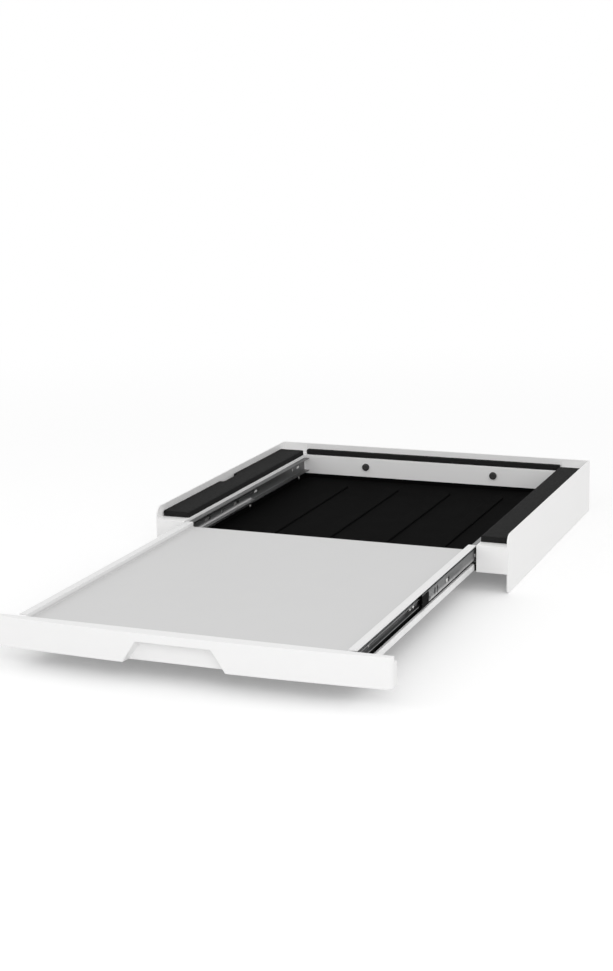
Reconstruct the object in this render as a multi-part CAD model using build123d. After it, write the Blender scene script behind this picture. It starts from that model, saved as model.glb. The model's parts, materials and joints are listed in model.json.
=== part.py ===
from build123d import *
import math
import os

os.makedirs("parts", exist_ok=True)

# Sizes of the stacking frame, in millimetres
frame_width = 607.0
frame_depth = 560.0
frame_wall = 3.0
skirt_height = 31.0
beam_height = 43.5
beam_width = 52.0
lip_height = 20.0
lip_corner_radius = 14.0
skirt_corner_radius = 6.0
block_edge_radius = 2.0
foot_flange_width = 14.0
beam_rib_thickness = 2.5
beam_rib_count = 8
rear_beam_depth = 20.0
rear_rib_count = 5
strap_slot_width = 8.0
strap_slot_length = 60.0

# Sizes of the shelf's place when it is out
shelf_overlap = 5.0
fascia_closed_gap = 2.0

# Sizes of the ball-bearing slides
slide_setback = 4.0
slide_rear_gap = 6.0
slide_height = 24.4
slide_thickness = 12.7
slide_sheet = 1.2
slide_bend_radius = 1.8
outer_lip_setback = 1.2
mid_back_gap = 1.4
mid_lip_setback = 0.7
inner_depth = 7.1
ball_gap = 2.0
ball_radius = 1.0
race_radius = 1.3
race_depth = 0.3
outer_ball_offset = 6.2
inner_ball_offset = 9.2
cage_sheet = 0.6
cage_end_gap = 8.0
cage_flange_run = 2.0
cage_window_length = 34.0
cage_hole_clearance = 0.05
balls_per_row = 5
buffer_length = 7.0
buffer_nose = 2.5
buffer_sheet = 1.0
buffer_pad_length = 28.0
buffer_pad_sheet = 0.5
web_hole_radius = 4.0
web_hole_setback = 126.0
web_slot_offset = 60.0
web_slot_length = 22.0
web_slot_width = 6.0
rivet_hole_radius = 1.6

# Sizes of the release levers on the slides
lever_length = 40.0
lever_width = 5.0
lever_thickness = 2.4
lever_lift = 0.6
lever_rivet_radius = 1.5
lever_rivet_clearance = 0.1
lever_head_radius = 2.4
lever_head_height = 0.8
lever_tab_height = 3.4
lever_place = 26.0

# Sizes of the shelf tray
rim_drop = 1.3
rim_side_gap = 1.9
rim_thickness = 2.0
rim_wall = 1.6
slide_rim_gap = 1.0
tray_recess = 8.5
tray_sheet = 2.5
tray_rib_depth = 17.0
tray_rib_thickness = 1.8
tray_rib_inset = 25.0
tray_rib_columns = 5
tray_rib_rows = 6
tray_edge_radius = 0.8

# Sizes of the shelf's side channels and their edge trims
channel_sheet = 1.5
channel_top_flange = 20.0
channel_bottom_flange = 6.2
channel_clearance = 0.5
channel_tab_width = 22.0
trim_width = 5.0
trim_height = 10.0
trim_side_gap = 4.0
trim_groove_depth = 2.7
trim_groove_clearance = 0.2
trim_edge_radius = 0.8

# Sizes of the fascia and its grip
fascia_depth = 20.0
fascia_bow = 11.5
fascia_top_depth = 8.5
fascia_wall = 2.5
fascia_end_radius = 9.0
fascia_edge_radius = 1.2
fascia_rib_thickness = 2.0
fascia_rib_count = 6
grip_bottom_width = 152.0
grip_top_width = 111.0
grip_height = 31.0
grip_depth = 16.0
grip_draft = 2.6
fascia_back_sheet = 1.5
fascia_back_inset = 3.0
bumper_radius = 5.0
bumper_height = 1.7

# Sizes of the base pan
pan_sheet = 1.0
pan_flange_height = 8.0
pan_front_setback = 8.0
bead_height = 3.0
bead_width = 26.0
bead_length = 420.0
bead_count = 4

# Sizes of the anti-slip strips and pads
strip_thickness = 10.0
strip_front_setback = 21.0
strip_rear_setback = 22.0
strip_side_gap = 1.2
strip_edge_radius = 1.5
rear_strip_width = 12.0
pad_thickness = 1.5
pad_width = 12.0
pad_end_gap = 10.0

# Sizes of the bolts, screws and stops
bolt_radius = 2.5
bolt_head_radius = 4.5
bolt_head_height = 2.5
bolt_head_sides = 6
bolt_height_share = 1 / 3
screw_radius = 1.9
screw_head_radius = 3.4
screw_head_height = 1.5
screw_length = 8.0
screw_hole_clearance = 0.1
slide_screws_per_side = 3
slide_screw_inset_share = 0.113
pan_screw_rise = 5.0
stop_radius = 7.0
stop_height = 4.5

# Sizes of the safety strap and its ties
strap_width = 50.0
strap_thickness = 2.0
strap_pitch = 2.6
roll_core_radius = 14.0
roll_half_turns = 39
roll_x = 125.0
roll_wall_gap = 0.8
strap_tail_length = 185.0
eye_gap = 0.6
eye_flap_length = 34.0
gap_samples = 25
tie_width = 10.0
tie_sheet = 2.0
tie_gap = 0.3
tie_core_gap = 1.3

# Sizes of the ratchet tensioner
ratchet_plate = 2.0
ratchet_plate_gap = 0.3
ratchet_base_drop = 11.0
ratchet_span = 58.0
ratchet_spool_inset = 15.0
ratchet_bolt_inset = 12.0
ratchet_plate_rise = 12.0
ratchet_plate_radius = 9.0
ratchet_bolt_radius = 4.5
spool_rise = 3.0
spool_radius = 6.5
spool_slot = 3.0
spool_clearance = 0.1
wheel_radius = 11.5
wheel_root_radius = 8.8
wheel_sheet = 2.0
wheel_teeth = 11
tooth_ramp_share = 0.8
handle_length = 118.0
handle_sheet = 1.5
handle_height = 12.0
handle_gap = 0.4
handle_neck = 22.0
handle_heel = 38.0
handle_hub_wall = 3.4
grip_bar_length = 30.0
grip_bar_radius = 4.0
lock_pawl_length = 17.0
lock_pawl_sheet = 3.0
lock_pawl_travel = 5.0
drive_pawl_length = 20.0
drive_pawl_rise = 9.0
drive_pawl_travel = 5.0
cover_length = 165.0
cover_height = 20.0
cover_sheet = 2.0
cover_setback = 5.0
cover_overlap = 3.0
cover_end_radius = 15.0
cover_edge_radius = 1.8
cover_floor_gap = 0.3
cover_arm_gap = 0.1

# Shared clearances
fit_gap = 0.3
cut_overrun = 1.0

# Levels and planes worked out from the sizes
slide_length = frame_depth - rear_beam_depth - slide_setback - slide_rear_gap
shelf_travel = slide_length
slide_screw_inset = slide_length * slide_screw_inset_share
shelf_reach = shelf_travel + fascia_depth + fascia_closed_gap
front_y = (shelf_reach - frame_depth) / 2
rear_y = front_y + frame_depth
seat_z = skirt_height
ledge_z = seat_z + beam_height
lip_z = ledge_z + lip_height
outer_x = frame_width / 2
wall_x = outer_x - frame_wall
bay_x = outer_x - beam_width
rear_beam_y = rear_y - rear_beam_depth
slot_y = (front_y + rear_y) / 2
rim_z = ledge_z - rim_drop
rim_x = bay_x - rim_side_gap
tray_z = rim_z - tray_recess
tray_under_z = tray_z - tray_sheet
web_x = bay_x - slide_thickness
slide_top_z = rim_z - rim_thickness - slide_rim_gap
slide_z = slide_top_z - slide_height / 2
slide_back_y = front_y + slide_setback
outer_front_y = slide_back_y
mid_front_y = slide_back_y - shelf_travel / 2
inner_front_y = slide_back_y - shelf_travel
fascia_y = front_y - shelf_reach
fascia_front_y = fascia_y - fascia_bow
fascia_back_y = fascia_y + fascia_depth
top_back_y = fascia_y + fascia_top_depth
tray_back_y = front_y + shelf_overlap
pan_top_z = seat_z + pan_sheet
channel_foot_z = pan_top_z + channel_clearance
corner_bolt_y = rear_y - rear_beam_depth / 2
pan_screw_z = seat_z + pan_screw_rise
fascia_screw_x = web_x - channel_tab_width / 2


def block(low, high):
    """A box between its lowest and its highest corner."""
    size = [top - bottom for bottom, top in zip(low, high)]
    return Pos(*low) * Box(*size, align=(Align.MIN, Align.MIN, Align.MIN))


def along_y(sketch, near, far):
    """A section drawn in X and Z, run from near to far along Y."""
    plane = Plane(origin=(0, far, 0), x_dir=(1, 0, 0), z_dir=(0, -1, 0))
    return extrude(plane * sketch, amount=far - near)


def along_x(sketch, near, far):
    """A section drawn in Y and Z, run from near to far along X."""
    plane = Plane(origin=(near, 0, 0), x_dir=(0, 1, 0), z_dir=(1, 0, 0))
    return extrude(plane * sketch, amount=far - near)


def along_z(sketch, near_z, far_z):
    """A section drawn in X and Y, run from near to far along Z."""
    return extrude(Pos(0, 0, near_z) * sketch, amount=far_z - near_z)


def panel(low, high):
    """A flat rectangle between two corners."""
    size = [top - bottom for bottom, top in zip(low, high)]
    return Pos(*low) * Rectangle(*size, align=(Align.MIN, Align.MIN))


def outline(*points):
    """A flat face inside a closed line through the points."""
    return make_face(Polyline(*points, close=True))


def disc_x(radius, near, far, y, z):
    """A round bar along X."""
    centre = Pos((near + far) / 2, y, z)
    return centre * Rot(0, 90, 0) * Cylinder(radius, far - near)


def disc_y(radius, near, far, x, z):
    """A round bar along Y."""
    centre = Pos(x, (near + far) / 2, z)
    return centre * Rot(90, 0, 0) * Cylinder(radius, far - near)


def disc_z(radius, near, far, x, y):
    """A round bar along Z."""
    centre = Pos(x, y, (near + far) / 2)
    return centre * Cylinder(radius, far - near)


def edges_where(shape, axis, test):
    """The edges along an axis whose middle passes the test."""
    return [edge for edge in shape.edges().filter_by(axis) if test(edge.center())]


def spread(first, last, count):
    """Evenly spaced places from first to last."""
    step = (last - first) / (count - 1)
    return [first + step * index for index in range(count)]


def mirrored(shape):
    """The same piece on the other side of the frame."""
    return mirror(shape, about=Plane.YZ)


def joined(shapes):
    """Separate solids of one group, kept apart."""
    solids = []
    for shape in shapes:
        solids.extend(shape.solids())
    return Compound(children=solids)


def near(value, target):
    """Whether two places are the same."""
    return abs(value - target) < fit_gap


# Side beams: a hollow ledge with a wall that grips both machines
def side_beam():
    body = block((bay_x, front_y, seat_z), (outer_x, rear_y, ledge_z))
    wall = block((wall_x, front_y, 0), (outer_x, rear_y, lip_z))
    top_corner = edges_where(wall, Axis.X, lambda at: near(at.Z, lip_z) and near(at.Y, front_y))
    wall = fillet(top_corner, lip_corner_radius)
    foot_corner = edges_where(wall, Axis.X, lambda at: near(at.Z, 0) and near(at.Y, front_y))
    wall = fillet(foot_corner, skirt_corner_radius)
    rear_wall = block((bay_x, rear_y - frame_wall, 0), (outer_x, rear_y, lip_z))
    body = body + wall + rear_wall
    front_edges = edges_where(body, Axis.X, lambda at: near(at.Y, front_y) and near(at.Z, ledge_z))
    body = fillet(front_edges, block_edge_radius)
    inner_low = (bay_x + frame_wall, front_y + frame_wall, seat_z - cut_overrun)
    inner_high = (wall_x, rear_y - frame_wall, ledge_z - frame_wall)
    body = body - block(inner_low, inner_high)
    flange_low = (bay_x, front_y, seat_z)
    flange_high = (bay_x + foot_flange_width, rear_y, seat_z + frame_wall)
    body = body + block(flange_low, flange_high)
    first_rib = front_y + frame_depth / (beam_rib_count + 1)
    last_rib = rear_y - frame_depth / (beam_rib_count + 1)
    for rib_y in spread(first_rib, last_rib, beam_rib_count):
        rib_low = (bay_x, rib_y - beam_rib_thickness / 2, seat_z + frame_wall)
        rib_high = (wall_x + frame_wall / 2, rib_y + beam_rib_thickness / 2, ledge_z - frame_wall / 2)
        body = body + block(rib_low, rib_high)
    slot_low = (wall_x - strap_slot_width, slot_y - strap_slot_length / 2, seat_z - cut_overrun)
    slot_high = (wall_x, slot_y + strap_slot_length / 2, ledge_z + cut_overrun)
    body = body - block(slot_low, slot_high)
    holes = [(screw_y, slide_z) for screw_y in screw_places()]
    holes += [(screw_y, pan_screw_z) for screw_y in pan_screw_places()]
    for hole_y, hole_z in holes:
        body = body - disc_x(screw_radius + screw_hole_clearance, bay_x - cut_overrun,
                             bay_x + screw_length + cut_overrun, hole_y, hole_z)
    for bolt_z in corner_bolt_places():
        body = body - disc_x(bolt_radius + screw_hole_clearance, bay_x - cut_overrun,
                             bay_x + frame_wall + cut_overrun, corner_bolt_y, bolt_z)
    return body


# Rear beam: joins the side beams behind the shelf
def rear_beam():
    body = block((-bay_x, rear_beam_y, seat_z), (bay_x, rear_y, ledge_z))
    wall = block((-bay_x, rear_y - frame_wall, 0), (bay_x, rear_y, lip_z))
    body = body + wall
    inner_low = (-bay_x + frame_wall, rear_beam_y + frame_wall, seat_z - cut_overrun)
    inner_high = (bay_x - frame_wall, rear_y - frame_wall, ledge_z - frame_wall)
    body = body - block(inner_low, inner_high)
    rib_step = (bay_x + bay_x) / (rear_rib_count + 1)
    for rib_x in spread(-bay_x + rib_step, bay_x - rib_step, rear_rib_count):
        rib_low = (rib_x - beam_rib_thickness / 2, rear_beam_y + frame_wall / 2, seat_z)
        rib_high = (rib_x + beam_rib_thickness / 2, rear_y - frame_wall / 2, ledge_z - frame_wall / 2)
        body = body + block(rib_low, rib_high)
    for bolt_z in corner_bolt_places():
        for side in (-1, 1):
            inner_x = side * (bay_x - frame_wall - cut_overrun)
            near_x, far_x = sorted((inner_x, side * (bay_x + cut_overrun)))
            body = body - disc_x(bolt_radius + screw_hole_clearance, near_x, far_x, corner_bolt_y, bolt_z)
    return body


# Base pan: a pressed sheet that ties the two beams below the shelf
def base_pan():
    pan_front = front_y + pan_front_setback
    pan = block((-bay_x, pan_front, seat_z), (bay_x, rear_beam_y, pan_top_z))
    for side in (-1, 1):
        flange_edge = sorted((side * bay_x, side * (bay_x - pan_sheet)))
        flange_low = (flange_edge[0], pan_front, seat_z)
        flange_high = (flange_edge[1], rear_beam_y, seat_z + pan_flange_height)
        pan = pan + block(flange_low, flange_high)
    rear_low = (-bay_x, rear_beam_y - pan_sheet, seat_z)
    rear_high = (bay_x, rear_beam_y, seat_z + pan_flange_height)
    pan = pan + block(rear_low, rear_high)
    hem_x = web_x - channel_sheet - trim_side_gap
    hem_high = (hem_x, pan_front + pan_sheet, pan_top_z + bead_height)
    pan = pan + block((-hem_x, pan_front, seat_z), hem_high)
    bead_step = (bay_x + bay_x) / (bead_count + 1)
    bead_y = (pan_front + rear_beam_y) / 2
    for bead_x in spread(-bay_x + bead_step, bay_x - bead_step, bead_count):
        rise = Pos(bead_x, bead_y, seat_z) * Rot(0, 0, 90) * SlotOverall(bead_length, bead_width)
        dip = SlotOverall(bead_length - pan_sheet - pan_sheet, bead_width - pan_sheet - pan_sheet)
        pan = pan + extrude(rise, amount=bead_height + pan_sheet)
        under = Pos(bead_x, bead_y, seat_z - cut_overrun) * Rot(0, 0, 90) * dip
        pan = pan - extrude(under, amount=bead_height + cut_overrun)
    for screw_y in pan_screw_places():
        for side in (-1, 1):
            inner_x = side * (bay_x - pan_sheet - cut_overrun)
            near_x, far_x = sorted((inner_x, side * (bay_x + cut_overrun)))
            pan = pan - disc_x(screw_radius + screw_hole_clearance, near_x, far_x, screw_y, pan_screw_z)
    return pan


# Anti-slip strips: foam that the upper machine stands on
def side_strip():
    inner_x = bay_x + strip_side_gap
    strip_front = front_y + strip_front_setback
    strip_rear = rear_y - strip_rear_setback
    strip = block((inner_x, strip_front, ledge_z), (wall_x - fit_gap, strip_rear, ledge_z + strip_thickness))
    top_edges = edges_where(strip, Axis.Y, lambda at: near(at.Z, ledge_z + strip_thickness))
    top_edges += edges_where(strip, Axis.X, lambda at: near(at.Z, ledge_z + strip_thickness))
    strip = fillet(top_edges, strip_edge_radius)
    notch_low = (wall_x - strap_slot_width - fit_gap, slot_y - strap_slot_length / 2 - fit_gap, 0)
    notch_high = (outer_x, slot_y + strap_slot_length / 2 + fit_gap, lip_z)
    return strip - block(notch_low, notch_high)


def rear_strip():
    strip_y = rear_y - frame_wall - fit_gap - rear_strip_width
    low = (-bay_x + strip_side_gap, strip_y, ledge_z)
    high = (bay_x - strip_side_gap, strip_y + rear_strip_width, ledge_z + strip_thickness)
    strip = block(low, high)
    top_edges = edges_where(strip, Axis.X, lambda at: near(at.Z, ledge_z + strip_thickness))
    return fillet(top_edges, strip_edge_radius)


# Washer pads: thin foam under the foot flange of each beam
def washer_pad():
    low = (bay_x + (foot_flange_width - pad_width) / 2, front_y + pad_end_gap, seat_z - pad_thickness)
    high = (low[0] + pad_width, rear_y - pad_end_gap, seat_z)
    return block(low, high)


# Corner bolts: they pull the rear beam's end walls against the side beams
def corner_bolt_places():
    """The heights of the bolts in each rear corner."""
    rise = beam_height * bolt_height_share
    return (seat_z + rise, ledge_z - rise)


def hexagon_x(radius, near_x, far_x, y, z):
    """A hexagonal head or nut along X."""
    shape = Pos(y, z) * RegularPolygon(radius, bolt_head_sides)
    return along_x(shape, near_x, far_x)


def corner_bolts():
    group = []
    for bolt_z in corner_bolt_places():
        head_x = bay_x + frame_wall
        nut_x = bay_x - frame_wall
        head = hexagon_x(bolt_head_radius, head_x, head_x + bolt_head_height, corner_bolt_y, bolt_z)
        shank = disc_x(bolt_radius, nut_x - bolt_head_height, head_x, corner_bolt_y, bolt_z)
        nut = hexagon_x(bolt_head_radius, nut_x - bolt_head_height, nut_x, corner_bolt_y, bolt_z)
        group.append(head + shank + nut)
    return joined(group + [mirrored(bolt) for bolt in group])


# Slide sections, drawn on the right-hand side
def slide_place(offset, height):
    """A point of a slide section: offset from the beam, height from the slide's middle."""
    return (bay_x - offset, slide_z + height)


outer_half = slide_height / 2
mid_half = outer_half - slide_sheet - ball_gap
inner_half = mid_half - slide_sheet - ball_gap
outer_ball_height = outer_half - slide_sheet - ball_gap / 2
inner_ball_height = mid_half - slide_sheet - ball_gap / 2
mid_back_offset = slide_sheet + mid_back_gap


def channel_section(back, tip, half, opens_inward):
    """A channel from its back's outer face to its flange tips."""
    low = slide_place(max(back, tip), -half)
    high = slide_place(min(back, tip), half)
    skin = panel(low, high)
    back_x = slide_place(back, 0)[0]
    corners = [spot for spot in skin.vertices() if near(spot.X, back_x)]
    skin = fillet(corners, slide_bend_radius)
    if opens_inward:
        room_low = slide_place(tip + cut_overrun, slide_sheet - half)
        room_high = slide_place(back + slide_sheet, half - slide_sheet)
    else:
        room_low = slide_place(back - slide_sheet, slide_sheet - half)
        room_high = slide_place(tip - cut_overrun, half - slide_sheet)
    return skin - panel(room_low, room_high)


def races(offset, height):
    """The two ball grooves of a race, as discs to cut away."""
    upper = Pos(*slide_place(offset, height)) * Circle(race_radius)
    lower = Pos(*slide_place(offset, -height)) * Circle(race_radius)
    return upper + lower


def screw_places():
    """Where the screws of an outer member stand along the beam."""
    first = outer_front_y + slide_screw_inset
    last = outer_front_y + slide_length - slide_screw_inset
    return spread(first, last, slide_screws_per_side)


def slide_outer():
    section = channel_section(0, slide_thickness - outer_lip_setback, outer_half, True)
    section = section - races(outer_ball_offset, outer_ball_height)
    member = along_y(section, outer_front_y, outer_front_y + slide_length)
    for screw_y in screw_places():
        member = member - disc_x(screw_head_radius + screw_hole_clearance, bay_x - slide_sheet - cut_overrun,
                                 bay_x + cut_overrun, screw_y, slide_z)
    return member


def slide_mid():
    section = channel_section(mid_back_offset, slide_thickness - mid_lip_setback, mid_half, True)
    section = section - races(outer_ball_offset, outer_ball_height)
    section = section - races(inner_ball_offset, inner_ball_height)
    member = along_y(section, mid_front_y, mid_front_y + slide_length)
    web_near = bay_x - mid_back_offset - slide_sheet - cut_overrun
    web_far = bay_x - mid_back_offset + cut_overrun
    first_hole = mid_front_y + web_hole_setback
    last_hole = mid_front_y + slide_length - web_hole_setback
    for hole_y in spread(first_hole, last_hole, slide_screws_per_side):
        member = member - disc_x(web_hole_radius, web_near, web_far, hole_y, slide_z)
        slot = SlotOverall(web_slot_length, web_slot_width)
        slot_place = Pos(hole_y - web_slot_offset, slide_z) * slot
        member = member - along_x(slot_place, web_near, web_far)
    return member


def slide_inner():
    section = channel_section(slide_thickness, slide_thickness - inner_depth, inner_half, False)
    section = section - races(inner_ball_offset, inner_ball_height)
    member = along_y(section, inner_front_y, inner_front_y + slide_length)
    lever_y = lever_pivot_y()
    web_near = web_x - cut_overrun
    web_far = web_x + slide_sheet + cut_overrun
    member = member - disc_x(lever_rivet_radius, web_near, web_far, lever_y, slide_z)
    for screw_y in inner_screw_places():
        member = member - disc_x(screw_radius + screw_hole_clearance, web_near, web_far, screw_y, slide_z)
        slot = SlotOverall(web_slot_length, web_slot_width / 2)
        slot_place = Pos(screw_y + web_slot_length, slide_z) * slot
        member = member - along_x(slot_place, web_near, web_far)
    return member


def pan_screw_places():
    """Where the screws of the base pan stand along the beams, between the other screws."""
    first = outer_front_y + slide_screw_inset / 2
    last = outer_front_y + slide_length - slide_screw_inset / 2
    return spread(first, last, slide_screws_per_side)


def inner_screw_places():
    """Where the screws of an inner member stand along the shelf."""
    first = inner_front_y + slide_screw_inset
    last = inner_front_y + slide_length - slide_screw_inset
    return spread(first, last, slide_screws_per_side)


def lever_pivot_y():
    """Where the release lever turns, near the mid member's front end."""
    return mid_front_y - lever_place


# Ball cages: thin channels whose flanges space the balls in their races
outer_cage_y = outer_front_y + (slide_length - shelf_travel / 2) / 2
inner_cage_y = mid_front_y + (slide_length - shelf_travel / 2) / 2
cage_length = slide_length - shelf_travel / 2 - cage_end_gap - cage_end_gap


def ball_places(middle):
    """Where the balls of one row stand along the slide."""
    reach = cage_length / 2 - cage_end_gap
    return spread(middle - reach, middle + reach, balls_per_row)


def ball_cage(back, ball_offset, ball_height, middle):
    """One cage: a back plate and two flanges with a hole for each ball."""
    flange_tip = ball_offset + cage_flange_run
    half = ball_height + cage_sheet / 2
    skin = panel(slide_place(flange_tip, -half), slide_place(back, half))
    room = panel(slide_place(flange_tip + cut_overrun, cage_sheet - half),
                 slide_place(back + cage_sheet, half - cage_sheet))
    cage = along_y(skin - room, middle - cage_length / 2, middle + cage_length / 2)
    ball_x = bay_x - ball_offset
    for ball_y in ball_places(middle):
        cage = cage - disc_z(ball_radius + cage_hole_clearance, slide_z - half - cut_overrun,
                             slide_z + half + cut_overrun, ball_x, ball_y)
    places = ball_places(middle)
    for before, after in zip(places, places[1:]):
        window = SlotOverall(cage_window_length, web_slot_width)
        window_place = Pos((before + after) / 2, slide_z) * window
        cage = cage - along_x(window_place, bay_x - flange_tip, bay_x)
    return cage


def balls(ball_offset, ball_height, middle):
    """The two rows of balls of one cage."""
    group = []
    for ball_y in ball_places(middle):
        for side in (-1, 1):
            centre = Pos(bay_x - ball_offset, ball_y, slide_z + side * ball_height)
            group.append(centre * Sphere(ball_radius))
    return joined(group)


outer_cage_back = slide_sheet + (mid_back_gap - cage_sheet) / 2
inner_tip_offset = slide_thickness - inner_depth
inner_cage_back = (mid_back_offset + slide_sheet + inner_tip_offset - cage_sheet) / 2


def outer_cage():
    return ball_cage(outer_cage_back, outer_ball_offset, outer_ball_height, outer_cage_y)


def inner_cage():
    return ball_cage(inner_cage_back, inner_ball_offset, inner_ball_height, inner_cage_y)


def outer_balls():
    return balls(outer_ball_offset, outer_ball_height, outer_cage_y)


def inner_balls():
    return balls(inner_ball_offset, inner_ball_height, inner_cage_y)


# Buffers: plastic noses at the front end of each mid member
def mid_buffer():
    back = mid_back_offset + slide_sheet
    half = mid_half - slide_sheet
    low = slide_place(back + buffer_sheet, -half)
    high = slide_place(back, half)
    plug = along_y(panel(low, high), mid_front_y, mid_front_y + buffer_length)
    nose_low = slide_place(back + buffer_sheet, -mid_half)
    nose_high = slide_place(mid_back_offset, mid_half)
    nose = along_y(panel(nose_low, nose_high), mid_front_y - buffer_nose, mid_front_y)
    flange_half = inner_half + fit_gap
    for side in (-1, 1):
        rows = sorted((side * flange_half, side * mid_half))
        arm_low = slide_place(slide_thickness - mid_lip_setback, rows[0])
        arm_high = slide_place(mid_back_offset, rows[1])
        nose = nose + along_y(panel(arm_low, arm_high), mid_front_y - buffer_nose, mid_front_y)
    pad_low = slide_place(mid_back_offset, slide_bend_radius - mid_half)
    pad_high = slide_place(mid_back_offset - buffer_pad_sheet, mid_half - slide_bend_radius)
    pad = along_y(panel(pad_low, pad_high), mid_front_y - buffer_nose, mid_front_y + buffer_pad_length)
    return plug + nose + pad


# Release levers: plastic, riveted into the channel of each inner member
def release_lever():
    pivot_y = lever_pivot_y()
    blade = Pos(pivot_y, slide_z) * SlotOverall(lever_length, lever_width)
    near_x = web_x + slide_sheet + lever_lift
    far_x = near_x + lever_thickness
    lever = along_x(blade, near_x, far_x)
    tip_y = pivot_y + lever_length / 2
    tab_low = (near_x, tip_y - lever_width, slide_z - lever_tab_height / 2)
    tab_high = (far_x + lever_lift, tip_y - lever_width / 2, slide_z + lever_tab_height / 2)
    lever = lever + block(tab_low, tab_high)
    bore = disc_x(lever_rivet_radius + lever_rivet_clearance, near_x - cut_overrun,
                  far_x + cut_overrun, pivot_y, slide_z)
    return lever - bore


def lever_rivet():
    pivot_y = lever_pivot_y()
    near_x = web_x
    far_x = web_x + slide_sheet + lever_lift + lever_thickness + lever_lift / 2
    rivet = disc_x(lever_rivet_radius, near_x, far_x, pivot_y, slide_z)
    head = disc_x(lever_head_radius, far_x, far_x + lever_head_height, pivot_y, slide_z)
    return rivet + head


# Shelf tray: a shallow moulding with two raised rims and ribs beneath
def shelf_tray():
    inner_x = web_x - rim_wall
    section = outline((-rim_x, rim_z), (rim_x, rim_z), (rim_x, rim_z - rim_thickness),
                      (web_x, rim_z - rim_thickness), (web_x, tray_under_z), (-web_x, tray_under_z),
                      (-web_x, rim_z - rim_thickness), (-rim_x, rim_z - rim_thickness))
    well = panel((-inner_x, tray_z), (inner_x, rim_z + cut_overrun))
    tray = along_y(section - well, fascia_back_y, tray_back_y)
    rim_edges = edges_where(tray, Axis.Y, lambda at: near(at.Z, rim_z))
    tray = fillet(rim_edges, tray_edge_radius)
    rib_x = web_x - tray_rib_inset
    rib_low_z = tray_under_z - tray_rib_depth
    rib_front = fascia_back_y + tray_rib_thickness
    rib_rear = tray_back_y - tray_rib_thickness
    for place_x in spread(-rib_x, rib_x, tray_rib_columns + 1):
        low = (place_x - tray_rib_thickness / 2, rib_front, rib_low_z)
        high = (place_x + tray_rib_thickness / 2, rib_rear, tray_z - tray_sheet / 2)
        tray = tray + block(low, high)
    for place_y in spread(rib_front, rib_rear, tray_rib_rows):
        low = (-rib_x, place_y - tray_rib_thickness / 2, rib_low_z)
        high = (rib_x, place_y + tray_rib_thickness / 2, tray_z - tray_sheet / 2)
        tray = tray + block(low, high)
    return tray


# Side channels: steel, under the tray's rims, carrying the slides
def side_channel():
    top_z = tray_under_z
    foot_top_z = channel_foot_z + channel_sheet
    foot_x = web_x + channel_bottom_flange
    inner_x = web_x - channel_sheet
    flange_x = web_x - channel_top_flange
    section = outline((web_x, top_z), (web_x, foot_top_z), (foot_x, foot_top_z), (foot_x, channel_foot_z),
                      (inner_x, channel_foot_z), (inner_x, top_z - channel_sheet),
                      (flange_x, top_z - channel_sheet), (flange_x, top_z))
    channel = along_y(section, fascia_back_y, tray_back_y)
    tab_low = (web_x - channel_tab_width, fascia_back_y, channel_foot_z)
    tab_high = (web_x, fascia_back_y + channel_sheet, top_z)
    channel = channel + block(tab_low, tab_high)
    for screw_y in inner_screw_places():
        channel = channel - disc_x(screw_radius + screw_hole_clearance, web_x - channel_sheet - cut_overrun,
                                   web_x + cut_overrun, screw_y, slide_z)
    for screw_z in fascia_screw_heights():
        channel = channel - disc_y(screw_radius + screw_hole_clearance, fascia_back_y - cut_overrun,
                                   fascia_back_y + channel_sheet + cut_overrun, fascia_screw_x, screw_z)
    return channel


def fascia_screw_heights():
    """The heights of the screws that hold a channel to the fascia."""
    middle = (channel_foot_z + tray_under_z) / 2
    return (middle - screw_length, middle + screw_length)


# Edge trims: white rails clipped over the lower flange of each channel
def edge_trim():
    outer_edge = bay_x - trim_side_gap
    low = (outer_edge - trim_width, channel_foot_z)
    high = (outer_edge, channel_foot_z + trim_height)
    section = panel(low, high)
    round_corners = [spot for spot in section.vertices() if near(spot.Y, high[1])]
    section = fillet(round_corners, trim_edge_radius)
    groove_low = (low[0] - cut_overrun, channel_foot_z - cut_overrun)
    groove_high = (web_x + channel_bottom_flange + trim_groove_clearance,
                   channel_foot_z + channel_sheet + trim_groove_clearance)
    section = section - panel(groove_low, groove_high)
    return along_y(section, fascia_back_y, tray_back_y)


# Fascia: a hollow, bow-fronted moulding with a scooped grip in its lower edge
def fascia_form(inset, back_y):
    """The fascia moved in by an inset: bowed in front, with a step behind its upper edge."""
    half = outer_x - inset
    end_y = fascia_y + inset
    bow = ThreePointArc((-half, end_y), (0, fascia_front_y + inset), (half, end_y))
    sides = Polyline((half, end_y), (half, back_y), (-half, back_y), (-half, end_y))
    plan = Face(Wire([bow, *sides.edges()]))
    corners = [spot for spot in plan.vertices() if near(spot.Y, end_y)]
    plan = fillet(corners, fascia_end_radius - inset)
    form = along_z(plan, seat_z + inset, ledge_z - inset)
    step_low = (-outer_x - cut_overrun, top_back_y - inset, tray_z - inset)
    step_high = (outer_x + cut_overrun, back_y + cut_overrun, ledge_z + cut_overrun)
    return form - block(step_low, step_high)


def grip_outline(depth, spare):
    """The grip's section at a depth behind the middle of the front, grown by a spare wall."""
    draft = grip_draft * depth / grip_depth
    slope = (grip_bottom_width - grip_top_width) / grip_height / 2
    half = grip_bottom_width / 2 - draft + spare
    rise = grip_height - draft + spare
    low_half = half + slope * cut_overrun
    high_half = half - slope * rise
    section = outline((-low_half, seat_z - cut_overrun), (low_half, seat_z - cut_overrun),
                      (high_half, seat_z + rise), (-high_half, seat_z + rise))
    plane = Plane(origin=(0, fascia_front_y + depth, 0), x_dir=(1, 0, 0), z_dir=(0, -1, 0))
    return plane * section


def grip_pocket(spare):
    """The space of the grip, grown by a spare wall: open in front and below."""
    front = grip_outline(-cut_overrun, spare)
    floor = grip_outline(grip_depth + spare, spare)
    return loft([front, floor], ruled=True)


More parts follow.
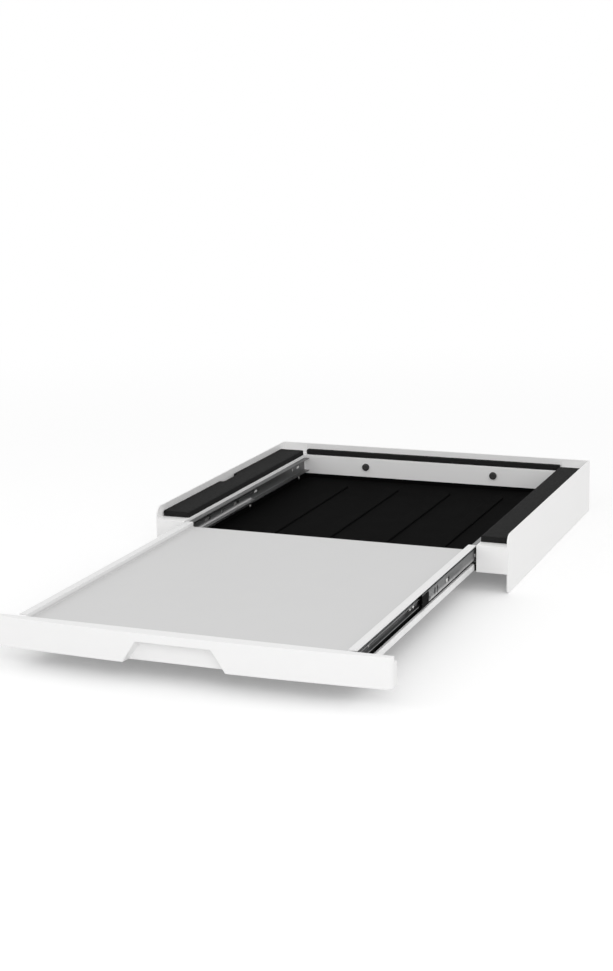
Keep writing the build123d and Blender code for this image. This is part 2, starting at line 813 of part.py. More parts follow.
def fascia():
    body = fascia_form(0, fascia_back_y)
    level_edges = [edge for edge in body.edges() if near(edge.center().Z, ledge_z)]
    level_edges += [edge for edge in body.edges() if near(edge.center().Z, seat_z)]
    rim_edges = [edge for edge in level_edges if edge.center().Y < fascia_y + fascia_end_radius / 2]
    body = fillet(rim_edges, fascia_edge_radius)
    hollow = fascia_form(fascia_wall, fascia_back_y + cut_overrun)
    rib_step = frame_width / (fascia_rib_count + 1)
    for rib_x in spread(-outer_x + rib_step, outer_x - rib_step, fascia_rib_count):
        rib_low = (rib_x - fascia_rib_thickness / 2, fascia_front_y, seat_z)
        rib_high = (rib_x + fascia_rib_thickness / 2, fascia_back_y - fascia_back_sheet, tray_z)
        hollow = hollow - block(rib_low, rib_high)
    hollow = hollow - grip_pocket(fascia_wall)
    return body - hollow - grip_pocket(0)


# Fascia back plate: steel, closes the moulding and takes the channels' screws
def fascia_back():
    plate_x = outer_x - fascia_wall - fascia_back_inset
    low_z = seat_z + fascia_wall + fit_gap
    high_z = tray_z - fascia_wall - fit_gap
    plate = block((-plate_x, fascia_back_y - fascia_back_sheet, low_z), (plate_x, fascia_back_y, high_z))
    for side in (-1, 1):
        for screw_z in fascia_screw_heights():
            plate = plate - disc_y(screw_radius + screw_hole_clearance,
                                   fascia_back_y - fascia_back_sheet - cut_overrun,
                                   fascia_back_y + cut_overrun, side * fascia_screw_x, screw_z)
    return plate


# Bumpers: rubber dots on the fascia's back that meet the beams when shut
def bumpers():
    middle_x = bay_x + beam_width / 2
    middle_z = seat_z + beam_height / 2
    right = disc_y(bumper_radius, fascia_back_y, fascia_back_y + bumper_height, middle_x, middle_z)
    return joined([right, mirrored(right)])


# Screws, as groups of the same kind
def outer_screws():
    group = []
    for screw_y in screw_places():
        head = disc_x(screw_head_radius, bay_x - slide_sheet, bay_x, screw_y, slide_z)
        shank = disc_x(screw_radius, bay_x, bay_x + screw_length, screw_y, slide_z)
        group.append(head + shank)
    return joined(group + [mirrored(screw) for screw in group])


def inner_screws():
    group = []
    for screw_y in inner_screw_places():
        head_near = web_x + slide_sheet
        head = disc_x(screw_head_radius, head_near, head_near + screw_head_height, screw_y, slide_z)
        shank = disc_x(screw_radius, web_x - screw_length / 2, head_near, screw_y, slide_z)
        group.append(head + shank)
    return joined(group + [mirrored(screw) for screw in group])


def pan_screws():
    group = []
    for screw_y in pan_screw_places():
        head_near = bay_x - pan_sheet - screw_head_height
        head = disc_x(screw_head_radius, head_near, bay_x - pan_sheet, screw_y, pan_screw_z)
        shank = disc_x(screw_radius, bay_x - pan_sheet, bay_x + screw_length, screw_y, pan_screw_z)
        group.append(head + shank)
    return joined(group + [mirrored(screw) for screw in group])


def fascia_screws():
    group = []
    for screw_z in fascia_screw_heights():
        head_near = fascia_back_y + channel_sheet
        head = disc_y(screw_head_radius, head_near, head_near + screw_head_height, fascia_screw_x, screw_z)
        shank = disc_y(screw_radius, fascia_back_y - screw_length / 2, head_near, fascia_screw_x, screw_z)
        group.append(head + shank)
    return joined(group + [mirrored(screw) for screw in group])


# Rear stops: rubber, met by the tray's rear edge when the shelf is shut
def rear_stops():
    stop_x = bay_x / 2
    right = disc_y(stop_radius, rear_beam_y - stop_height, rear_beam_y, stop_x, slide_z)
    return joined([right, mirrored(right)])


# Strap roll: one flat strip, wound on half turns, with a sewn eye at its free end
strap_base_z = tie_sheet + tie_gap
strap_top_z = strap_base_z + strap_width
half_strap = strap_thickness / 2
bolt_y = rear_y + roll_wall_gap + ratchet_base_drop
eye_radius = ratchet_bolt_radius + eye_gap + half_strap
tail_y = bolt_y - eye_radius


half_turns = [roll_core_radius + strap_pitch / 2 * turn for turn in range(roll_half_turns)]
roll_y = tail_y + half_turns[-1]
bolt_x = roll_x - strap_tail_length


def turn_arcs(shift):
    """One side of the wound strip: an arc for each half turn, moved by half its thickness."""
    arcs = []
    centre_y = roll_y
    side = -1
    for radius in half_turns:
        moved = radius + shift
        start = (roll_x, centre_y - side * moved)
        middle = (roll_x - side * moved, centre_y)
        end = (roll_x, centre_y + side * moved)
        arcs.append((start, middle, end))
        side = -side
        centre_y += side * strap_pitch / 2
    return arcs


def strap_roll():
    outer_arcs = turn_arcs(half_strap)
    inner_arcs = turn_arcs(-half_strap)
    low_y = outer_arcs[-1][2][1]
    high_y = inner_arcs[-1][2][1]
    eye_y = (low_y + high_y) / 2 + eye_radius
    reach_out = eye_radius + half_strap
    reach_in = eye_radius - half_strap
    flap_x = bolt_x + eye_flap_length
    edges = [ThreePointArc(*arc) for arc in outer_arcs + inner_arcs]
    edges.append(Line(outer_arcs[0][0], inner_arcs[0][0]))
    edges.append(Line((roll_x, low_y), (bolt_x, low_y)))
    edges.append(ThreePointArc((bolt_x, low_y), (bolt_x - reach_out, eye_y), (bolt_x, eye_y + reach_out)))
    edges.append(Line((bolt_x, eye_y + reach_out), (flap_x, eye_y + reach_out)))
    edges.append(Line((flap_x, eye_y + reach_out), (flap_x, eye_y + reach_in)))
    edges.append(Line((flap_x, eye_y + reach_in), (bolt_x, eye_y + reach_in)))
    edges.append(ThreePointArc((bolt_x, eye_y + reach_in), (bolt_x - reach_in, eye_y), (bolt_x, high_y)))
    edges.append(Line((bolt_x, high_y), (roll_x, high_y)))
    strip = Face(Wire(edges))
    return Pos(0, 0, strap_base_z) * extrude(strip, amount=strap_width, dir=(0, 0, 1))


def strap_report():
    """Print the strap's length, its turns and the least gap between neighbouring turns."""
    length = strap_tail_length + eye_flap_length + math.pi * (eye_radius + sum(half_turns))
    samples = []
    for start, middle, end in turn_arcs(0):
        samples.append(ThreePointArc(start, middle, end).positions(spread(0, 1, gap_samples)))
    steps = []
    for inner_turn, outer_turn in zip(samples, samples[2:]):
        for spot in inner_turn:
            steps.append(min((spot - other).length for other in outer_turn))
    least = min(steps) - strap_thickness
    print("strap length", round(length), "half turns", len(half_turns), "least gap", round(least, 2))


# Ties: two bands that keep the put-away strap rolled
def strap_ties():
    core_leg = roll_core_radius - half_strap - tie_sheet - tie_core_gap
    outer_leg = half_turns[-1] + half_strap + tie_gap
    high_z = strap_top_z + tie_gap + tie_sheet
    band = block((roll_x + core_leg, roll_y - tie_width / 2, 0),
                 (roll_x + outer_leg + tie_sheet, roll_y + tie_width / 2, high_z))
    corners = edges_where(band, Axis.Y, lambda at: True)
    band = fillet(corners, tie_sheet)
    room = block((roll_x + core_leg + tie_sheet, roll_y - tie_width, tie_sheet),
                 (roll_x + outer_leg, roll_y + tie_width, high_z - tie_sheet))
    right = band - room
    left = mirror(right, about=Plane(origin=(roll_x, 0, 0), z_dir=(1, 0, 0)))
    return joined([right, left])


# Ratchet tensioner, lying on its side plate beside the roll
spool_x = bolt_x - ratchet_span
spool_y = bolt_y + spool_rise
plate_top_z = strap_top_z + ratchet_plate_gap + ratchet_plate
handle_low_z = ratchet_plate + handle_gap
handle_top_z = plate_top_z - ratchet_plate - handle_gap
wheel_low_z = handle_low_z + handle_sheet + handle_gap
wheel_high_z = handle_top_z - handle_sheet - handle_gap


def ratchet_frame():
    low = (spool_x - ratchet_spool_inset, bolt_y - ratchet_base_drop)
    high = (bolt_x + ratchet_bolt_inset, spool_y + ratchet_plate_rise)
    plate = panel(low, high)
    upper_corners = [spot for spot in plate.vertices() if near(spot.Y, high[1])]
    plate = fillet(upper_corners, ratchet_plate_radius)
    spool_bore = Pos(spool_x, spool_y) * Circle(spool_radius + spool_clearance)
    pawl_low, pawl_high = lock_pawl_section()
    pawl_slot = panel((pawl_low[0] - fit_gap, pawl_low[1] - fit_gap),
                      (pawl_high[0] + lock_pawl_travel + fit_gap, pawl_high[1] + fit_gap))
    plate = plate - spool_bore - pawl_slot
    bolt_bore = Pos(bolt_x, bolt_y) * Circle(ratchet_bolt_radius + spool_clearance)
    plate = plate - bolt_bore
    side_plates = along_z(plate, 0, ratchet_plate) + along_z(plate, plate_top_z - ratchet_plate, plate_top_z)
    base = block((low[0] + ratchet_plate_radius, low[1], 0),
                 (high[0] - ratchet_plate_radius, low[1] + ratchet_plate, plate_top_z))
    return side_plates + base


def ratchet_bolt():
    return disc_z(ratchet_bolt_radius, 0, plate_top_z, bolt_x, bolt_y)


def lock_pawl_section():
    """The lowest and highest corner of the lock pawl's section, just off the teeth."""
    low = (spool_x + wheel_radius + fit_gap, spool_y - lock_pawl_sheet)
    return low, (low[0] + lock_pawl_length, spool_y)


def lock_pawl():
    low, high = lock_pawl_section()
    bar = panel(low, high)
    tip = [spot for spot in bar.vertices() if near(spot.X, low[0]) and near(spot.Y, low[1])]
    bar = chamfer(tip, lock_pawl_sheet / 2)
    return along_z(bar, 0, plate_top_z)


def ratchet_wheel():
    """One toothed disc: saw teeth between the root circle and the tip circle."""
    pitch = 2 * math.pi / wheel_teeth
    points = []
    for tooth in range(wheel_teeth):
        root = pitch * tooth
        tip = root + pitch * tooth_ramp_share
        for radius, angle in ((wheel_root_radius, root), (wheel_radius, tip)):
            points.append((spool_x + radius * math.cos(angle), spool_y + radius * math.sin(angle)))
    return outline(*points)


def ratchet_spool():
    wheel = ratchet_wheel()
    barrel = disc_z(spool_radius, 0, plate_top_z, spool_x, spool_y)
    barrel = barrel - block((spool_x - spool_radius, spool_y - spool_slot / 2, wheel_low_z + wheel_sheet),
                            (spool_x + spool_radius, spool_y + spool_slot / 2, wheel_high_z - wheel_sheet))
    low_wheel = along_z(wheel, wheel_low_z, wheel_low_z + wheel_sheet)
    high_wheel = along_z(wheel, wheel_high_z - wheel_sheet, wheel_high_z)
    return barrel + low_wheel + high_wheel


def handle_levels():
    """The lower and upper faces of the handle's arms, above the spool."""
    low_y = spool_y + drive_pawl_rise
    return low_y, low_y + handle_height


def ratchet_handle():
    low_y, high_y = handle_levels()
    hub = Pos(spool_x, spool_y) * Circle(spool_radius + spool_clearance + handle_hub_wall)
    neck_x = spool_x + handle_neck
    heel_x = spool_x + handle_heel
    end_x = spool_x + handle_length
    arm = outline((spool_x, spool_y + spool_radius + handle_hub_wall), (neck_x, high_y), (end_x, high_y),
                  (end_x, low_y), (heel_x, low_y), (spool_x + spool_radius, spool_y))
    section = hub + arm
    section = section - Pos(spool_x, spool_y) * Circle(spool_radius + spool_clearance)
    pawl_low, pawl_high = drive_pawl_section()
    slot = panel((pawl_low[0] - fit_gap, pawl_low[1] - fit_gap),
                 (pawl_high[0] + drive_pawl_travel + fit_gap, pawl_high[1] + fit_gap))
    section = section - slot
    arms = along_z(section, handle_low_z, handle_low_z + handle_sheet)
    arms = arms + along_z(section, handle_top_z - handle_sheet, handle_top_z)
    back = block((heel_x, high_y - handle_sheet, handle_low_z), (end_x, high_y, handle_top_z))
    grip = block((end_x - grip_bar_length, low_y, handle_low_z), (end_x, high_y, handle_top_z))
    grip_edges = edges_where(grip, Axis.Z, lambda at: at.X > end_x - grip_bar_length / 2)
    grip = fillet(grip_edges, grip_bar_radius)
    return arms + back + grip


def drive_pawl_section():
    """The lowest and highest corner of the drive pawl's section, just off the teeth."""
    low = (spool_x + wheel_root_radius, spool_y + wheel_root_radius)
    return low, (low[0] + drive_pawl_length, low[1] + lock_pawl_sheet)


def drive_pawl():
    low, high = drive_pawl_section()
    bar = panel(low, high)
    return along_z(bar, handle_low_z, handle_top_z)


def ratchet_cover():
    low_y, high_y = handle_levels()
    near_x = spool_x + cover_setback
    skin = panel((near_x, high_y - cover_overlap), (near_x + cover_length, high_y + cover_height))
    crown = [spot for spot in skin.vertices() if near(spot.Y, high_y + cover_height)]
    skin = fillet(crown, cover_end_radius)
    shell = along_z(skin, cover_floor_gap, plate_top_z - cover_floor_gap)
    top_edges = [edge for edge in shell.edges() if near(edge.center().Y, high_y + cover_height)]
    shell = fillet(top_edges, cover_edge_radius)
    room_y = high_y + cover_height - cover_sheet
    room = panel((near_x + cover_sheet, high_y - cover_overlap - cut_overrun),
                 (near_x + cover_length - cover_sheet, room_y))
    room = fillet([spot for spot in room.vertices() if near(spot.Y, room_y)], cover_end_radius - cover_sheet)
    return shell - along_z(room, handle_low_z - cover_arm_gap, handle_top_z + cover_arm_gap)


strap_report()

PAIRED_PARTS = {
    "side_beam": side_beam,
    "washer_pad": washer_pad,
    "anti_slip_strip": side_strip,
    "slide_outer": slide_outer,
    "slide_mid": slide_mid,
    "slide_inner": slide_inner,
    "outer_cage": outer_cage,
    "inner_cage": inner_cage,
    "outer_balls": outer_balls,
    "inner_balls": inner_balls,
    "mid_buffer": mid_buffer,
    "release_lever": release_lever,
    "lever_rivet": lever_rivet,
    "side_channel": side_channel,
    "edge_trim": edge_trim,
}

SINGLE_PARTS = {
    "rear_beam": rear_beam,
    "base_pan": base_pan,
    "anti_slip_strip_rear": rear_strip,
    "corner_bolts": corner_bolts,
    "outer_slide_screws": outer_screws,
    "inner_slide_screws": inner_screws,
    "pan_screws": pan_screws,
    "rear_stops": rear_stops,
    "shelf_tray": shelf_tray,
    "fascia": fascia,
    "fascia_back": fascia_back,
    "fascia_screws": fascia_screws,
    "fascia_bumpers": bumpers,
    "strap_roll": strap_roll,
    "strap_ties": strap_ties,
    "ratchet_frame": ratchet_frame,
    "ratchet_bolt": ratchet_bolt,
    "ratchet_spool": ratchet_spool,
    "ratchet_handle": ratchet_handle,
    "drive_pawl": drive_pawl,
    "lock_pawl": lock_pawl,
    "ratchet_cover": ratchet_cover,
}

for name, make in PAIRED_PARTS.items():
    right_piece = make()
    export_step(right_piece, f"parts/{name}_right.step")
    export_step(mirrored(right_piece), f"parts/{name}_left.step")

for name, make in SINGLE_PARTS.items():
    export_step(make(), f"parts/{name}.step")
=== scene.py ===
"""Dress the stacking kit: its moulded frame, sliding shelf, slides, strap and ratchet."""
import json
import logging
import math
from contextlib import contextmanager
from dataclasses import dataclass
from enum import Enum
from typing import Callable, Iterator, Mapping, Optional, Sequence, Union

import bpy
from mathutils import Matrix, Vector

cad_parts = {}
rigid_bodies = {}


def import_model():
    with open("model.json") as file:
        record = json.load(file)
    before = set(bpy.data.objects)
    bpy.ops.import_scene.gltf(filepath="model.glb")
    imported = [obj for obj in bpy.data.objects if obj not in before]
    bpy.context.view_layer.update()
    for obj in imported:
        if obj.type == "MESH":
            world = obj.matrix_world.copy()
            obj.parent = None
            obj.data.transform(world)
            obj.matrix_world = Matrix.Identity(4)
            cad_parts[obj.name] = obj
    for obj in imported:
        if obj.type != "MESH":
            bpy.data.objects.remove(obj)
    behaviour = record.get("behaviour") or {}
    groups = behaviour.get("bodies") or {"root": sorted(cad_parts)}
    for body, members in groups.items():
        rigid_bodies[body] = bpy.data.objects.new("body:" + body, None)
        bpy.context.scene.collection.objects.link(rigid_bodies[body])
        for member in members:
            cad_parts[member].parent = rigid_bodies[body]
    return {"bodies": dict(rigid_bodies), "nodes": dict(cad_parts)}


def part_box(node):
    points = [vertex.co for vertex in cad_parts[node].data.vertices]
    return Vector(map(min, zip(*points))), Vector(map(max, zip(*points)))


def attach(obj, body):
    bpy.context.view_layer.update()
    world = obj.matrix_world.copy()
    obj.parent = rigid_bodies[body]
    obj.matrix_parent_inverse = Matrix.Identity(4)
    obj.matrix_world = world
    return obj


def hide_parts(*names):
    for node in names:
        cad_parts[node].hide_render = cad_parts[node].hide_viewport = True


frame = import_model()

log = logging.getLogger("stacking_kit")
Piece = bpy.types.Object
Spot = Pair = tuple[float, float]
Triple = tuple[float, float, float]
Colour = tuple[float, float, float, float]
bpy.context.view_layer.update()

MM = 0.001  # a millimetre in Blender's metres
OVERRUN = 1.0  # how far a cut runs past what it cuts, in millimetres
SEAL = 0.05  # what counts as the same place, in millimetres


class Axis(Enum):
    """The line that a section is run along."""

    X = 0
    Y = 1
    Z = 2

    def place(self, spot: Spot, along: float) -> Vector:
        """A point of a section at a level along the axis, in metres."""
        return Vector((*spot[:self.value], along, *spot[self.value:])) * MM

    def step(self, length: float) -> Vector:
        """A move along the axis, in metres."""
        return self.place((0.0, 0.0), length)


class Side(Enum):
    """The two sides of the frame."""

    RIGHT = 1
    LEFT = -1

    @property
    def tag(self) -> str:
        """The word that ends the names of this side's pieces."""
        return self.name.lower()


@dataclass(frozen=True)
class Extent:
    """The lowest and highest corner of a node, in millimetres.

    Args:
        x0, x1, y0, y1, z0, z1: the low and high side along each axis.
    """

    x0: float
    x1: float
    y0: float
    y1: float
    z0: float
    z1: float

    @classmethod
    def of(cls, node: str) -> "Extent":
        """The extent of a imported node."""
        low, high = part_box(node)
        return cls(*[value / MM for pair in zip(low, high) for value in pair])

    @property
    def low(self) -> Triple:
        """The lowest corner."""
        return self.x0, self.y0, self.z0

    @property
    def high(self) -> Triple:
        """The highest corner."""
        return self.x1, self.y1, self.z1

    @property
    def middle(self) -> Vector:
        """The middle of the box."""
        return Vector([(low + high) / 2 for low, high in zip(self.low, self.high)])


def spread(first: float, last: float, count: int) -> list[float]:
    """Evenly spaced places.

    Args:
        first: the first place.
        last: the last place.
        count: how many there are.

    Returns:
        The places, both ends among them.
    """
    return [first + (last - first) * index / (count - 1) for index in range(count)]


def bent_path(corners: Sequence[Triple], closed: bool = False,
              steps: int = 6) -> list[tuple[Vector, Vector]]:
    """A line with an arc at each corner.

    Args:
        corners: the corners as x, y and the arc's radius.
        closed: whether the last corner runs on to the first.
        steps: the steps of each arc.

    Returns:
        The points along the line, each with its direction.
    """
    count = len(corners)
    spots = [Vector(corner[:2]) for corner in corners]
    path: list[tuple[Vector, Vector]] = []
    for index, corner in enumerate(corners):
        spot = spots[index]
        before = spots[index - 1] if closed or index > 0 else None
        after = spots[(index + 1) % count] if closed or index < count - 1 else None
        if before is None or after is None or corner[2] <= 0:
            ahead = (after - spot) if after is not None else (spot - before)
            path.append((spot, ahead.normalized()))
            continue
        back, ahead = (before - spot).normalized(), (after - spot).normalized()
        half = back.angle(ahead) / 2
        centre = spot + (back + ahead).normalized() * corner[2] / math.sin(half)
        start = spot + back * corner[2] / math.tan(half) - centre
        end = spot + ahead * corner[2] / math.tan(half) - centre
        turn = start.angle_signed(end)
        for step in range(steps + 1):
            swung = Matrix.Rotation(-turn * step / steps, 2) @ start
            path.append((centre + swung, Matrix.Rotation(-turn * step / steps, 2) @ -back))
    return path


def rounded(corners: Sequence[Triple], steps: int = 6) -> list[Spot]:
    """A closed outline.

    Args:
        corners: the corners as x, y and the radius there.
        steps: the steps of each arc.

    Returns:
        The outline's points.
    """
    return [(spot.x, spot.y) for spot, _ in bent_path(corners, True, steps)]


def rectangle(low: Spot, high: Spot, radius: float = 0.0, steps: int = 6) -> list[Spot]:
    """A rectangle's outline with equal rounded corners.

    Args:
        low: the lowest corner.
        high: the highest corner.
        radius: the radius of its corners.
        steps: the steps of each arc.

    Returns:
        The outline's points.
    """
    return rounded([(low[0], low[1], radius), (high[0], low[1], radius),
                    (high[0], high[1], radius), (low[0], high[1], radius)], steps)


def circle(middle: Spot, radius: float, steps: int = 28) -> list[Spot]:
    """A circle's points."""
    return crescent(middle, radius, radius, 0.0, math.tau, steps)[:steps]


def crescent(middle: Spot, outer: float, inner: float, start: float, sweep: float,
             steps: int = 10) -> list[Spot]:
    """A curved slot's outline.

    Args:
        middle: the middle of its two arcs.
        outer, inner: the radius of each arc.
        start: the angle where they start.
        sweep: how far they go round.
        steps: the steps of each arc.

    Returns:
        The outline's points.
    """
    angles = [start + sweep * step / steps for step in range(steps + 1)]
    arcs = [(outer, angle) for angle in angles] + [(inner, angle) for angle in angles[::-1]]
    return [(middle[0] + radius * math.cos(angle), middle[1] + radius * math.sin(angle))
            for radius, angle in arcs]


def stadium(middle: Spot, length: float, width: float, steps: int = 8) -> list[Spot]:
    """A slot's outline with round ends, its length along the first axis.

    Args:
        middle: its middle.
        length, width: its size.
        steps: the steps of each corner's arc.

    Returns:
        The outline's points.
    """
    reach, half = length / 2, width / 2
    return rectangle((middle[0] - reach, middle[1] - half), (middle[0] + reach, middle[1] + half),
                     half * 0.998, steps)


def sheet_section(corners: Sequence[Triple], thickness: float, steps: int = 5) -> list[Spot]:
    """The closed section of bent sheet.

    Args:
        corners: the corners of the sheet's middle line, as x, y and the bend's radius.
        thickness: the sheet's thickness.
        steps: the steps of each bend.

    Returns:
        The outline's points.
    """
    path = bent_path(corners, False, steps)
    one, other = [], []
    for spot, ahead in path:
        across = Vector((-ahead.y, ahead.x)) * thickness / 2
        one.append(tuple(spot + across))
        other.append(tuple(spot - across))
    return one + other[::-1]


class Bench:
    """The modelling bench: a piece starts as a primitive and is shaped by edit-mode operators."""

    @staticmethod
    def rest() -> None:
        """Deselect everything, in object mode."""
        active = bpy.context.view_layer.objects.active
        if active is not None and active.mode != "OBJECT":
            bpy.ops.object.mode_set(mode="OBJECT")
        bpy.ops.object.select_all(action="DESELECT")

    @staticmethod
    def hold(obj: Piece) -> Piece:
        """Make one object the only selected one, and the active one.

        Args:
            obj: the object.

        Returns:
            The object.
        """
        Bench.rest()
        obj.select_set(True)
        bpy.context.view_layer.objects.active = obj
        return obj

    @staticmethod
    def settle(name: str) -> Piece:
        """Name the active object and put its place into its mesh.

        Args:
            name: its name and its mesh's.

        Returns:
            The object.
        """
        obj = Bench.hold(bpy.context.view_layer.objects.active)
        obj.name = obj.data.name = name
        bpy.ops.object.transform_apply(location=True, rotation=True, scale=True)
        return obj

    @staticmethod
    @contextmanager
    def editing(obj: Piece, pick: Optional[Callable] = None, kind: str = "FACE") -> Iterator[None]:
        """Edit mode with the picked parts of the mesh selected.

        Args:
            obj: the object to edit.
            pick: a test of a face or an edge's middle and direction, or None for all.
            kind: FACE or EDGE.

        Yields:
            Nothing; the edit mode lasts as long as the block.
        """
        Bench.hold(obj)
        bpy.ops.object.mode_set(mode="EDIT")
        bpy.ops.mesh.select_mode(type=kind)
        bpy.ops.mesh.select_all(action="DESELECT" if pick else "SELECT")
        if pick:
            bpy.ops.object.mode_set(mode="OBJECT")
            mesh = obj.data
            if kind == "FACE":
                for face in mesh.polygons:
                    face.select = bool(pick(face.center / MM, face.normal))
            else:
                for edge in mesh.edges:
                    ends = [mesh.vertices[index].co for index in edge.vertices]
                    along = (ends[1] - ends[0]).normalized()
                    edge.select = bool(pick((ends[0] + ends[1]) / 2 / MM, along))
            bpy.ops.object.mode_set(mode="EDIT")
        yield
        bpy.ops.object.mode_set(mode="OBJECT")

    @staticmethod
    def block(name: str, low: Sequence[float], high: Sequence[float]) -> Piece:
        """A block between two corners.

        Args:
            name: the object's name.
            low: one corner, in millimetres.
            high: the corner across from it.

        Returns:
            The new object.
        """
        low, high = Vector(low), Vector(high)
        size = Vector([abs(value) for value in high - low])
        Bench.rest()
        bpy.ops.mesh.primitive_cube_add(size=1, location=(low + high) / 2 * MM, scale=size * MM)
        return Bench.settle(name)

    @staticmethod
    def prism(name: str, outline: Sequence[Spot], axis: Axis, near: float, far: float) -> Piece:
        """A section run along an axis: a filled ring of points, moved to the outline and extruded.

        Args:
            name: the object's name.
            outline: the section's points, in millimetres.
            axis: the axis that it runs along.
            near: where it starts.
            far: where it ends.

        Returns:
            The new object.
        """
        Bench.rest()
        bpy.ops.mesh.primitive_circle_add(vertices=len(outline), radius=MM, fill_type="NGON")
        obj = Bench.settle(name)
        for vertex, spot in zip(obj.data.vertices, outline):
            vertex.co = axis.place(spot, near)
        with Bench.editing(obj):
            move = {"value": axis.step(far - near)}
            bpy.ops.mesh.extrude_region_move(TRANSFORM_OT_translate=move)
            bpy.ops.mesh.select_all(action="SELECT")
            bpy.ops.mesh.normals_make_consistent(inside=False)
        return obj

    @staticmethod
    def turned(name: str, profile: Sequence[Spot], axis: Axis, origin: Sequence[float],
               steps: int = 32) -> Piece:
        """A turned piece: a closed half section, spun round an axis.

        Args:
            name: the object's name.
            profile: the half section as radius and place along the axis, in millimetres.
            axis: the axis it turns about.
            origin: the point that the places along the axis count from.
            steps: the steps of the full turn.

        Returns:
            The new object.
        """
        Bench.rest()
        bpy.ops.mesh.primitive_circle_add(vertices=len(profile), radius=MM, fill_type="NOTHING")
        obj = Bench.settle(name)
        centre = Vector(origin) * MM
        for vertex, (radius, along) in zip(obj.data.vertices, profile):
            spot = (radius, 0.0) if axis is not Axis.X else (0.0, radius)
            vertex.co = centre + axis.place(spot, along)
        with Bench.editing(obj, kind="EDGE"):
            bpy.ops.mesh.spin(steps=steps, angle=2 * math.pi, center=centre, axis=axis.step(1 / MM))
            bpy.ops.mesh.select_all(action="SELECT")
            bpy.ops.mesh.remove_doubles(threshold=SEAL * MM / 10)
            bpy.ops.mesh.normals_make_consistent(inside=False)
        return obj

    @staticmethod
    def copied(obj: Piece, name: str, move: Sequence[float] = (0, 0, 0),
               mirror: bool = False) -> Piece:
        """A copy with a mesh of its own.

        Args:
            obj: the object to copy.
            name: the copy's name.
            move: how far the copy goes, in millimetres.
            mirror: whether it is turned to the other side of the frame.

        Returns:
            The copy.
        """
        Bench.hold(obj)
        bpy.ops.object.duplicate(linked=False)
        copy = bpy.context.view_layer.objects.active
        copy.location = Vector(move) * MM
        copy.scale.x = -1 if mirror else 1
        Bench.settle(name)
        if mirror:
            with Bench.editing(copy):
                bpy.ops.mesh.normals_make_consistent(inside=False)
        return copy

    @staticmethod
    def traced(node: str, name: str) -> Piece:
        """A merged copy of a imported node's mesh, free of its body.

        Args:
            node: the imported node.
            name: the copy's name.

        Returns:
            The copy, with its flat faces whole again.
        """
        obj = bpy.data.objects.new(name, frame["nodes"][node].data.copy())
        bpy.context.scene.collection.objects.link(obj)
        with Bench.editing(obj):
            bpy.ops.mesh.remove_doubles(threshold=SEAL * MM / 10)
            bpy.ops.mesh.customdata_custom_splitnormals_clear()
            bpy.ops.mesh.dissolve_limited(angle_limit=math.radians(0.5))
        return obj

    @staticmethod
    def joined(parts: Sequence[Piece], name: str) -> Piece:
        """Several objects as one.

        Args:
            parts: the objects.
            name: the name of what they become.

        Returns:
            The joined object.
        """
        Bench.hold(parts[0])
        for part in parts[1:]:
            part.select_set(True)
        bpy.ops.object.join()
        return Bench.settle(name)

    @staticmethod
    def modified(obj: Piece, kind: str, **settings: object) -> Piece:
        """Add a modifier, set it up and apply it.

        Args:
            obj: the object.
            kind: the modifier's type.
            settings: its settings.

        Returns:
            The object.
        """
        Bench.hold(obj)
        modifier = obj.modifiers.new(kind.lower(), kind)
        for key, value in settings.items():
            setattr(modifier, key, value)
        bpy.ops.object.modifier_apply(modifier=modifier.name)
        return obj

    @staticmethod
    def merged(obj: Piece, parts: Sequence[Piece], operation: str = "UNION") -> Piece:
        """Weld other solids on, or cut them away.

        Args:
            obj: the object that stays.
            parts: the solids, which are used up.
            operation: UNION or DIFFERENCE.

        Returns:
            The object.
        """
        tool = Bench.joined(parts, obj.name + "_tool") if len(parts) > 1 else parts[0]
        Bench.modified(obj, "BOOLEAN", operation=operation, solver="EXACT", use_self=len(parts) > 1,
                       object=tool)
        bpy.data.objects.remove(tool)
        return obj

    @staticmethod
    def cut(obj: Piece, *parts: Piece) -> Piece:
        """Cut solids out of an object."""
        return Bench.merged(obj, parts, "DIFFERENCE")

    @staticmethod
    def punched(obj: Piece, axis: Axis, near: float, far: float,
                *outlines: Sequence[Spot]) -> Piece:
        """Punch outlines through an object.

        Args:
            obj: the object.
            axis: the punch's direction.
            near: where the holes start.
            far: where they end.
            outlines: the hole outlines.

        Returns:
            The object.
        """
        return Bench.cut(obj, *[Bench.prism(f"punch_{index}", outline, axis, near, far)
                                for index, outline in enumerate(outlines)])

    @staticmethod
    def shade(obj: Piece, angle: float = 32.0) -> Piece:
        """Smooth the shading below an angle, and let large faces lead it.

        Args:
            obj: the object.
            angle: the angle in degrees.

        Returns:
            The object.
        """
        Bench.hold(obj)
        bpy.ops.object.shade_smooth_by_angle(angle=math.radians(angle))
        return Bench.modified(obj, "WEIGHTED_NORMAL", keep_sharp=True)

    @staticmethod
    def softened(obj: Piece, width: float, segments: int = 2, angle: float = 32.0,
                 clamp: bool = True) -> Piece:
        """Round all edges sharper than an angle.

        Args:
            obj: the object.
            width: the width of the rounding, in millimetres.
            segments: its steps.
            angle: the angle in degrees.
            clamp: whether the rounding gets smaller where edges are short.

        Returns:
            The object.
        """
        with Bench.editing(obj):
            bpy.ops.mesh.remove_doubles(threshold=SEAL * MM / 5)
            bpy.ops.mesh.dissolve_limited(angle_limit=math.radians(0.1))
        return Bench.modified(obj, "BEVEL", width=width * MM, segments=segments,
                              limit_method="ANGLE", angle_limit=math.radians(angle),
                              miter_outer="MITER_ARC", use_clamp_overlap=clamp)

